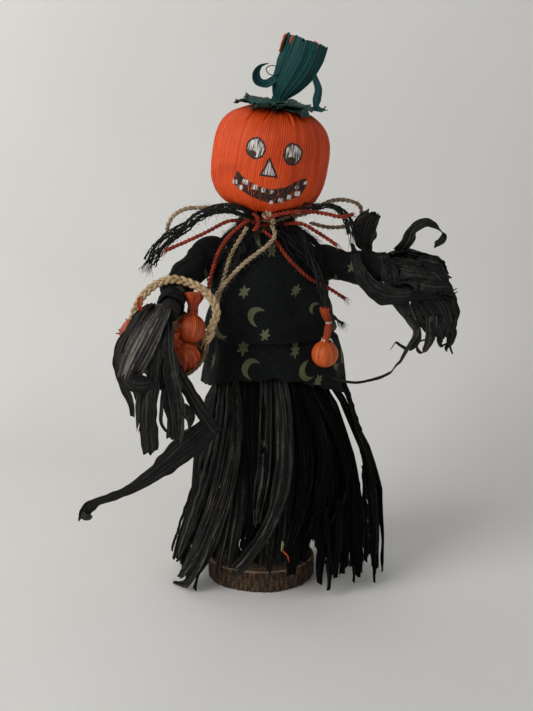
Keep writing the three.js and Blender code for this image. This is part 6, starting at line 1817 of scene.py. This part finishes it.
def barkMaterial():
    material, tree, shader, flat, _ = newMaterial("bark")
    coarse = fibreNoise(tree, flat, (0.55, 0.12, 1), 5.0, 0.65)
    fine = fibreNoise(tree, flat, (2.4, 0.5, 1), 4.0, 0.6)
    shade = weighted(tree, (coarse, 0.6), (fine, 0.4))
    colour = colourRamp(tree, spread(tree, shade, 0.32, 0.68),
                        [(0, (0.01, 0.006, 0.004)), (0.4, (0.038, 0.024, 0.016)),
                         (0.75, (0.1, 0.06, 0.034)), (1, (0.21, 0.14, 0.085))])
    rim = spread(tree, storedValue(tree, "plates"), 0.9, 1.3)
    colour = mixColour(tree, rim, colour,
                       colourRamp(tree, fine, [(0.3, (0.2, 0.135, 0.08)), (0.7, (0.4, 0.29, 0.18))]))
    finish(tree, shader, colour, shade, 0.0006, 0.9, Roughness=0.9, Specular_IOR_Level=0.2)
    return material


makeBark().build("barkRing", barkMaterial(), "doll", "bark", "base_bark")


def giveMaterial(name, material):
    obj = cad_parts[name]
    for i in range(len(obj.material_slots)):
        obj.material_slots[i].material = material


def woodMaterial(name, centre, pitch, stops):
    material, tree, shader, _, place = newMaterial(name)
    offset = node(tree, "ShaderNodeVectorMath", {0: place, 1: centre}, operation="SUBTRACT").outputs[0]
    warp = fibreNoise(tree, place, (45, 45, 6))
    level = node(tree, "ShaderNodeVectorMath", {0: offset, 1: (1, 1.28, 0)}, operation="MULTIPLY").outputs[0]
    far = node(tree, "ShaderNodeVectorMath", {0: level}, operation="LENGTH").outputs["Value"]
    rings = maths(tree, "PINGPONG", weighted(tree, (far, 1 / pitch), (warp, 2.2)), 1.0)
    shade = weighted(tree, (rings, 0.6), (fibreNoise(tree, place, (900, 900, 60)), 0.4))
    colour = colourRamp(tree, shade, stops)
    finish(tree, shader, colour, shade, 0.0003, 0.5, Roughness=0.75, Specular_IOR_Level=0.3)
    return material


giveMaterial("base_wood", woodMaterial("slicedWood", (0.004, 0.003, 0), 0.0021, [
    (0.1, (0.2, 0.13, 0.072)), (0.5, (0.34, 0.235, 0.135)), (0.9, (0.48, 0.35, 0.215))]))
giveMaterial("centre_post", woodMaterial("dowelWood", (0.004, 0.0, 0), 0.0016, [
    (0.1, (0.36, 0.25, 0.14)), (0.9, (0.6, 0.46, 0.3))]))


def steelMaterial():
    material, tree, shader, _, place = newMaterial("wireSteel")
    streaks = fibreNoise(tree, place, (300, 300, 2500))
    tree.links.new(spread(tree, streaks, 0.3, 0.7, 0.28, 0.45), shader.inputs["Roughness"])
    colour = colourRamp(tree, streaks, [(0.3, (0.38, 0.38, 0.37)), (0.7, (0.55, 0.55, 0.54))])
    finish(tree, shader, colour, streaks, 0.00005, 0.4, Metallic=1.0)
    return material


steel = steelMaterial()
for name in ("shoulder_wire", "arm_wire_left", "arm_wire_right"):
    giveMaterial(name, steel)


# What the CAD's padding nodes show through the armholes and cuffs is dyed husk.
def bundleMaterial():
    material, tree, shader, _, place = newMaterial("huskBundle")
    strands = fibreNoise(tree, place, (700, 700, 40))
    shade = weighted(tree, (strands, 0.7), (noiseOf(tree, place, 60.0, 2.0), 0.3))
    colour = colourRamp(tree, spread(tree, shade, 0.35, 0.65),
                        [(0, (0.003, 0.003, 0.0035)), (1, (0.02, 0.019, 0.018))])
    finish(tree, shader, colour, strands, 0.0003, 0.8, Roughness=0.7, Specular_IOR_Level=0.15)
    return material


bundle = bundleMaterial()
for name in ("body_core", "head_core", "arm_roll_left", "arm_roll_right"):
    giveMaterial(name, bundle)
print("base")


# Neck: wound yarn, and the jute and orange ties with their knots

def windings(shape, radius, bottom, top, turns, seed):
    angle = np.linspace(0, 2 * np.pi * turns, 44 * turns)
    spot = angle / angle[-1]
    z = bottom + (top - bottom) * spot + 0.25 * roughLine(angle * 2, seed)
    reach = radius + 0.3 * roughLine(angle * 1.7, seed + 1)
    line = together(bodyX + reach * np.sin(angle), -reach * np.cos(angle), z)
    addYarn(shape, line, 0.75, pitch=4.4, sides=5)


def addKnot(shape, centre, radii, thick, plies, pitch, turn):
    t = np.linspace(0, 2 * np.pi, 120)
    x = (np.sin(t) + 2 * np.sin(2 * t)) / 3
    z = (np.cos(t) - 2 * np.cos(2 * t)) / 3
    y = np.sin(3 * t)
    line = together(x * math.cos(turn) - z * math.sin(turn), y, x * math.sin(turn) + z * math.cos(turn))
    addYarn(shape, np.array(centre) + line * np.array(radii), thick, plies, pitch, sides=6)


def makeNeck():
    binding = Shape()
    for layer in range(3):
        windings(binding, 9.6 + layer * 1.2, 232.6, 239.6, 6, 90 + layer)
    binding.build("neckWinding", blackYarn, "doll", "black_yarn", "neck_binding")

    juteZ, orangeZ = 235.1, 232.3
    ring = lambda z, radius: together(bodyX + radius * np.sin(a), -radius * np.cos(a), z + 0.35 * roughLine(a * 2, z))
    a = np.linspace(0, 2 * np.pi, 150)
    jute = Shape()
    addYarn(jute, ring(juteZ, 13.7), 1.3, 2, 6.2)
    addKnot(jute, (5.5, -17, juteZ + 3.4), (3.0, 1.5, 2.5), 1.15, 2, 5.6, 0.5)
    over = evenPath([(-1.4, -14, 243.4), (0.6, -17.8, 244), (3.6, -19.8, 242.4), (6.6, -20.2, 239),
                     (8.2, -18.8, 234)], 0.5)[0]
    addYarn(jute, over, 1.5, 2, 6.4)
    jute.build("juteTie", juteYarn, "doll", "jute", "neck_tie_jute")
    orange = Shape()
    addYarn(orange, ring(orangeZ, 13.6), 1.2, 2, 5.0)
    addKnot(orange, (-1.8, -15.4, orangeZ + 2.4), (2.9, 1.4, 2.3), 1.05, 2, 4.8, 2.2)
    wrapOver = evenPath([(-4.4, -15, 238.6), (-2.6, -17.8, 239.2), (-0.6, -19.2, 236), (-1.6, -18.8, 232),
                         (-3.4, -16.6, 229.6)], 0.5)[0]
    addYarn(orange, wrapOver, 1.2, 2, 5.0)
    orange.build("orangeTie", orangeYarn, "doll", "orange_yarn", "neck_tie_orange")


makeNeck()


# Frayed black strands that lie on the chest and shoulders
def makeFringe():
    shape = Shape()
    random = np.random.RandomState(77)
    for i in range(64):
        side = 1 if i % 2 else -1
        angle = side * random.uniform(0.35, 1.9) if i < 52 else random.uniform(2.0, 4.3)
        reach = random.uniform(12, 30) if abs(angle) > 1.2 else random.uniform(20, 38)
        zs = np.linspace(234, 234 - reach, 7)
        turn = angle + np.linspace(0, 0.14 * side, 7) + 0.05 * random.normal(0, 1, 7)
        lifted = np.interp(zs, [190, 224, 234], [1.4, 2.4, 4.6]) + random.uniform(0, 1.6)
        points = bodyPlace(tunicLevels, turn, zs, lifted)
        path = evenPath(points, 0.8)[0]
        path = shaken(path, lengthsAlong(path) / 6, 0.7, 3 * i)
        addYarn(shape, path, random.uniform(0.3, 0.5), 2, 3.4, i, 5)
        fuzzAlong(shape, path, 0.5, 2.2, 5.0, 0.07, 700 + i, droop=0.4)
    shape.build("neckFringe", blackYarn, "doll", "black_yarn")


makeFringe()
for kind, shape in fuzzShapes.items():
    shape.build("fuzz_" + kind, cordKinds[kind]["material"], "doll", cordKinds[kind]["slot"])


waistTie = Shape()
windings(waistTie, 19.4, 151.6, 154.4, 3, 130)
waistTie.build("waistTie", juteYarn, "doll", "jute", "waist_tie")
print("neck and waist")


# Leaves inside the skirt, which close the gaps between the outer ones
def insidePlace(angle, z, acrossShare, deepShare):
    left, right, front, back = halfWidths(skirtLevels, z)
    return (bodyX + (left if math.sin(angle) < 0 else right) * acrossShare * math.sin(angle),
            -(back if math.cos(angle) < 0 else front) * deepShare * math.cos(angle))


def makeInnerSkirt():
    shape = Shape()
    random = np.random.RandomState(8)
    for i in range(22):
        angle = 2 * np.pi * i / 22 + random.uniform(-0.1, 0.1)
        foot = random.uniform(16.5, 34)
        share = random.uniform(0.5, 0.78)
        route = []
        for z in (146, 136, 118, 92, 64, 38, foot):
            across = np.interp(z, [0, 140, 146], [share, share, 0.8])
            x, y = insidePlace(angle, z, across, across)
            route.append((x + random.uniform(-1.5, 1.5), y + random.uniform(-1, 1), z))
        cross = (math.cos(angle), math.sin(angle), 0)
        addLeaf(shape, route, [cross, cross], [3.4, 5.5, 8, 10, 10, 9, 6],
                sliverRow(2, 800 + i, 0.1, 0.15, 0.3, short=0.2),
                waves=(1.5, 0.8), ragged=0.3, seed=820 + i, spacing=2.2, column=0.9)
    # This inner ring takes the darkest husk, which darkens the gaps in the skirt: painted shade.
    for i in range(17):
        angle = 2 * np.pi * (i + 0.5) / 17
        heights = (145, 128, 104, 78, 52, 26 + random.uniform(-6, 3))
        route = [(*insidePlace(angle, z, 0.58, 0.7), z) for z in heights]
        cross = (math.cos(angle), math.sin(angle), 0)
        addLeaf(shape, route, [cross, cross], [7, 11, 14, 15, 16, 13], wholeLeaf(0.7), waves=(1.5, 0.8),
                ragged=0.3, seed=860 + i, spacing=2.6, column=1.0, slot=1)
    shape.build("innerLeaves", [skirtHusk, darkestHuskAndShade], "doll", "black_husk")


makeInnerSkirt()
print("inner skirt")


# Odd ends under the skirt: a loop of thread, a raw stub, a scrap of orange and a frayed black tuft
def makeScraps():
    angle = np.linspace(-0.6, 2 * np.pi - 1.1, 50)
    loop = together(-9 + 3.6 * np.cos(angle) + 0.5 * roughLine(angle, 2), -36.5 + 0.6 * np.sin(3 * angle),
                    39 + 4.4 * np.sin(angle))
    tail = evenPath([(-7.5, -34, 52), (-6.2, -36, 45), loop[-1]], 0.6)[0]
    thread = Shape()
    addTube(thread, np.concatenate([loop, tail[::-1][1:]]), 0.24, sides=6)
    thread.build("looseThread", threadYarn, "doll", "jute")
    stub = Shape()
    addLeaf(stub, [(13, -34, 47), (13.6, -36, 41), (13.4, -37, 35)], [(1, 0, 0), (1, 0, 0)], [2.2, 3.0, 1.6],
            seed=990, spacing=0.5, column=0.5, tear=1.2)
    stub.build("rawStub", rawHusk, "doll", "lining_husk")
    scrap = Shape()
    addLeaf(scrap, [(12.6, -36, 35), (15, -38, 34), (17.2, -38.4, 31.4), (17.6, -38, 27.6)],
            [(0.3, 0, 1), (1, 0.3, 0)], [0.9, 1.2, 1.1, 0.6], seed=991, spacing=0.5, column=0.4, tear=1.0)
    scrap.build("orangeScrap", basketHusk, "doll", "orange_husk")
    tuft = Shape()
    random = np.random.RandomState(12)
    roots = np.array([8.5, -33, 37]) + random.normal(0, 1.8, (130, 3))
    addHairs(tuft, roots, np.array([0.1, -0.35, -1]) + random.normal(0, 0.45, (130, 3)),
             random.uniform(5, 13, 130), 0.14, 13, droop=0.2, wave=0.3, rows=7)
    tuft.build("frayedTuft", blackYarn, "doll", "black_yarn")


makeScraps()


# Floor and light

# A sweep of floor and wall, in metres
studio = {"halfWidth": 3.0, "front": -2.4, "back": 0.2, "bend": 0.12, "top": 1.3}


def makeStage():
    back, bend = studio["back"], studio["bend"]
    profile = [(studio["front"], 0.0), (back, 0.0)]
    for step in range(1, 13):
        turn = math.pi / 2 * step / 12
        profile.append((back + bend * math.sin(turn), bend - bend * math.cos(turn)))
    profile.append((back + bend, studio["top"]))
    count = len(profile)
    mesh = bpy.data.meshes.new("floor")
    mesh.from_pydata([(side * studio["halfWidth"], y, z) for side in (-1, 1) for y, z in profile], [],
                     [(i, count + i, count + i + 1, i + 1) for i in range(count - 1)])
    for polygon in mesh.polygons:
        polygon.use_smooth = True
    material, tree, shader, _, place = newMaterial("paleFloor")
    tone = colourRamp(tree, noiseOf(tree, place, 6.0, 2.0), [(0.3, (0.83, 0.82, 0.79)), (0.7, (0.87, 0.86, 0.835))])
    finish(tree, shader, tone, Roughness=0.75, Specular_IOR_Level=0.2)
    clear = node(tree, "ShaderNodeBsdfTransparent")
    behind = node(tree, "ShaderNodeNewGeometry").outputs["Backfacing"]
    seen = node(tree, "ShaderNodeMixShader", {0: behind, 1: shader.outputs[0], 2: clear.outputs[0]})
    tree.links.new(seen.outputs[0], tree.nodes["Material Output"].inputs["Surface"])
    mesh.materials.append(material)
    floor = bpy.data.objects.new("floor", mesh)
    scene.collection.objects.link(floor)


makeStage()


def addLight(name, place, target, size, power, colour):
    data = bpy.data.lights.new(name, "AREA")
    data.shape = "RECTANGLE"
    data.size, data.size_y = size
    data.energy = power
    data.color = colour
    light = bpy.data.objects.new(name, data)
    light.location = place
    way = np.array(place) - np.array(target)
    light.rotation_euler = (math.atan2(math.hypot(way[0], way[1]), way[2]), 0, math.atan2(way[0], -way[1]))
    scene.collection.objects.link(light)


addLight("window", (-1.0, -0.7, 0.78), (0, 0, 0.16), (0.8, 0.9), 11.5, (1.0, 0.985, 0.96))
addLight("fill", (0.9, -0.8, 0.6), (0, 0, 0.18), (0.9, 0.9), 1.2, (0.97, 0.98, 1.0))


# The world lights the doll softly, and shows as a pale backdrop where it is seen or reflected.
def makeWorld():
    world = bpy.data.worlds.new("studio")
    scene.world = world
    world.use_nodes = True
    tree = world.node_tree
    ambient = tree.nodes["Background"]
    ambient.inputs["Color"].default_value = (0.9, 0.92, 0.95, 1)
    ambient.inputs["Strength"].default_value = 0.27
    glow = node(tree, "ShaderNodeBackground", {0: (0.62, 0.615, 0.6, 1)})
    rays = node(tree, "ShaderNodeLightPath").outputs
    seen = maths(tree, "MAXIMUM", rays["Is Camera Ray"], rays["Is Glossy Ray"])
    seen = maths(tree, "MAXIMUM", seen, rays["Is Transmission Ray"])
    sky = node(tree, "ShaderNodeMixShader", {0: seen, 1: ambient.outputs[0], 2: glow.outputs[0]})
    tree.links.new(sky.outputs[0], tree.nodes["World Output"].inputs["Surface"])


makeWorld()
scene.view_settings.view_transform = "Standard"
print("stage")
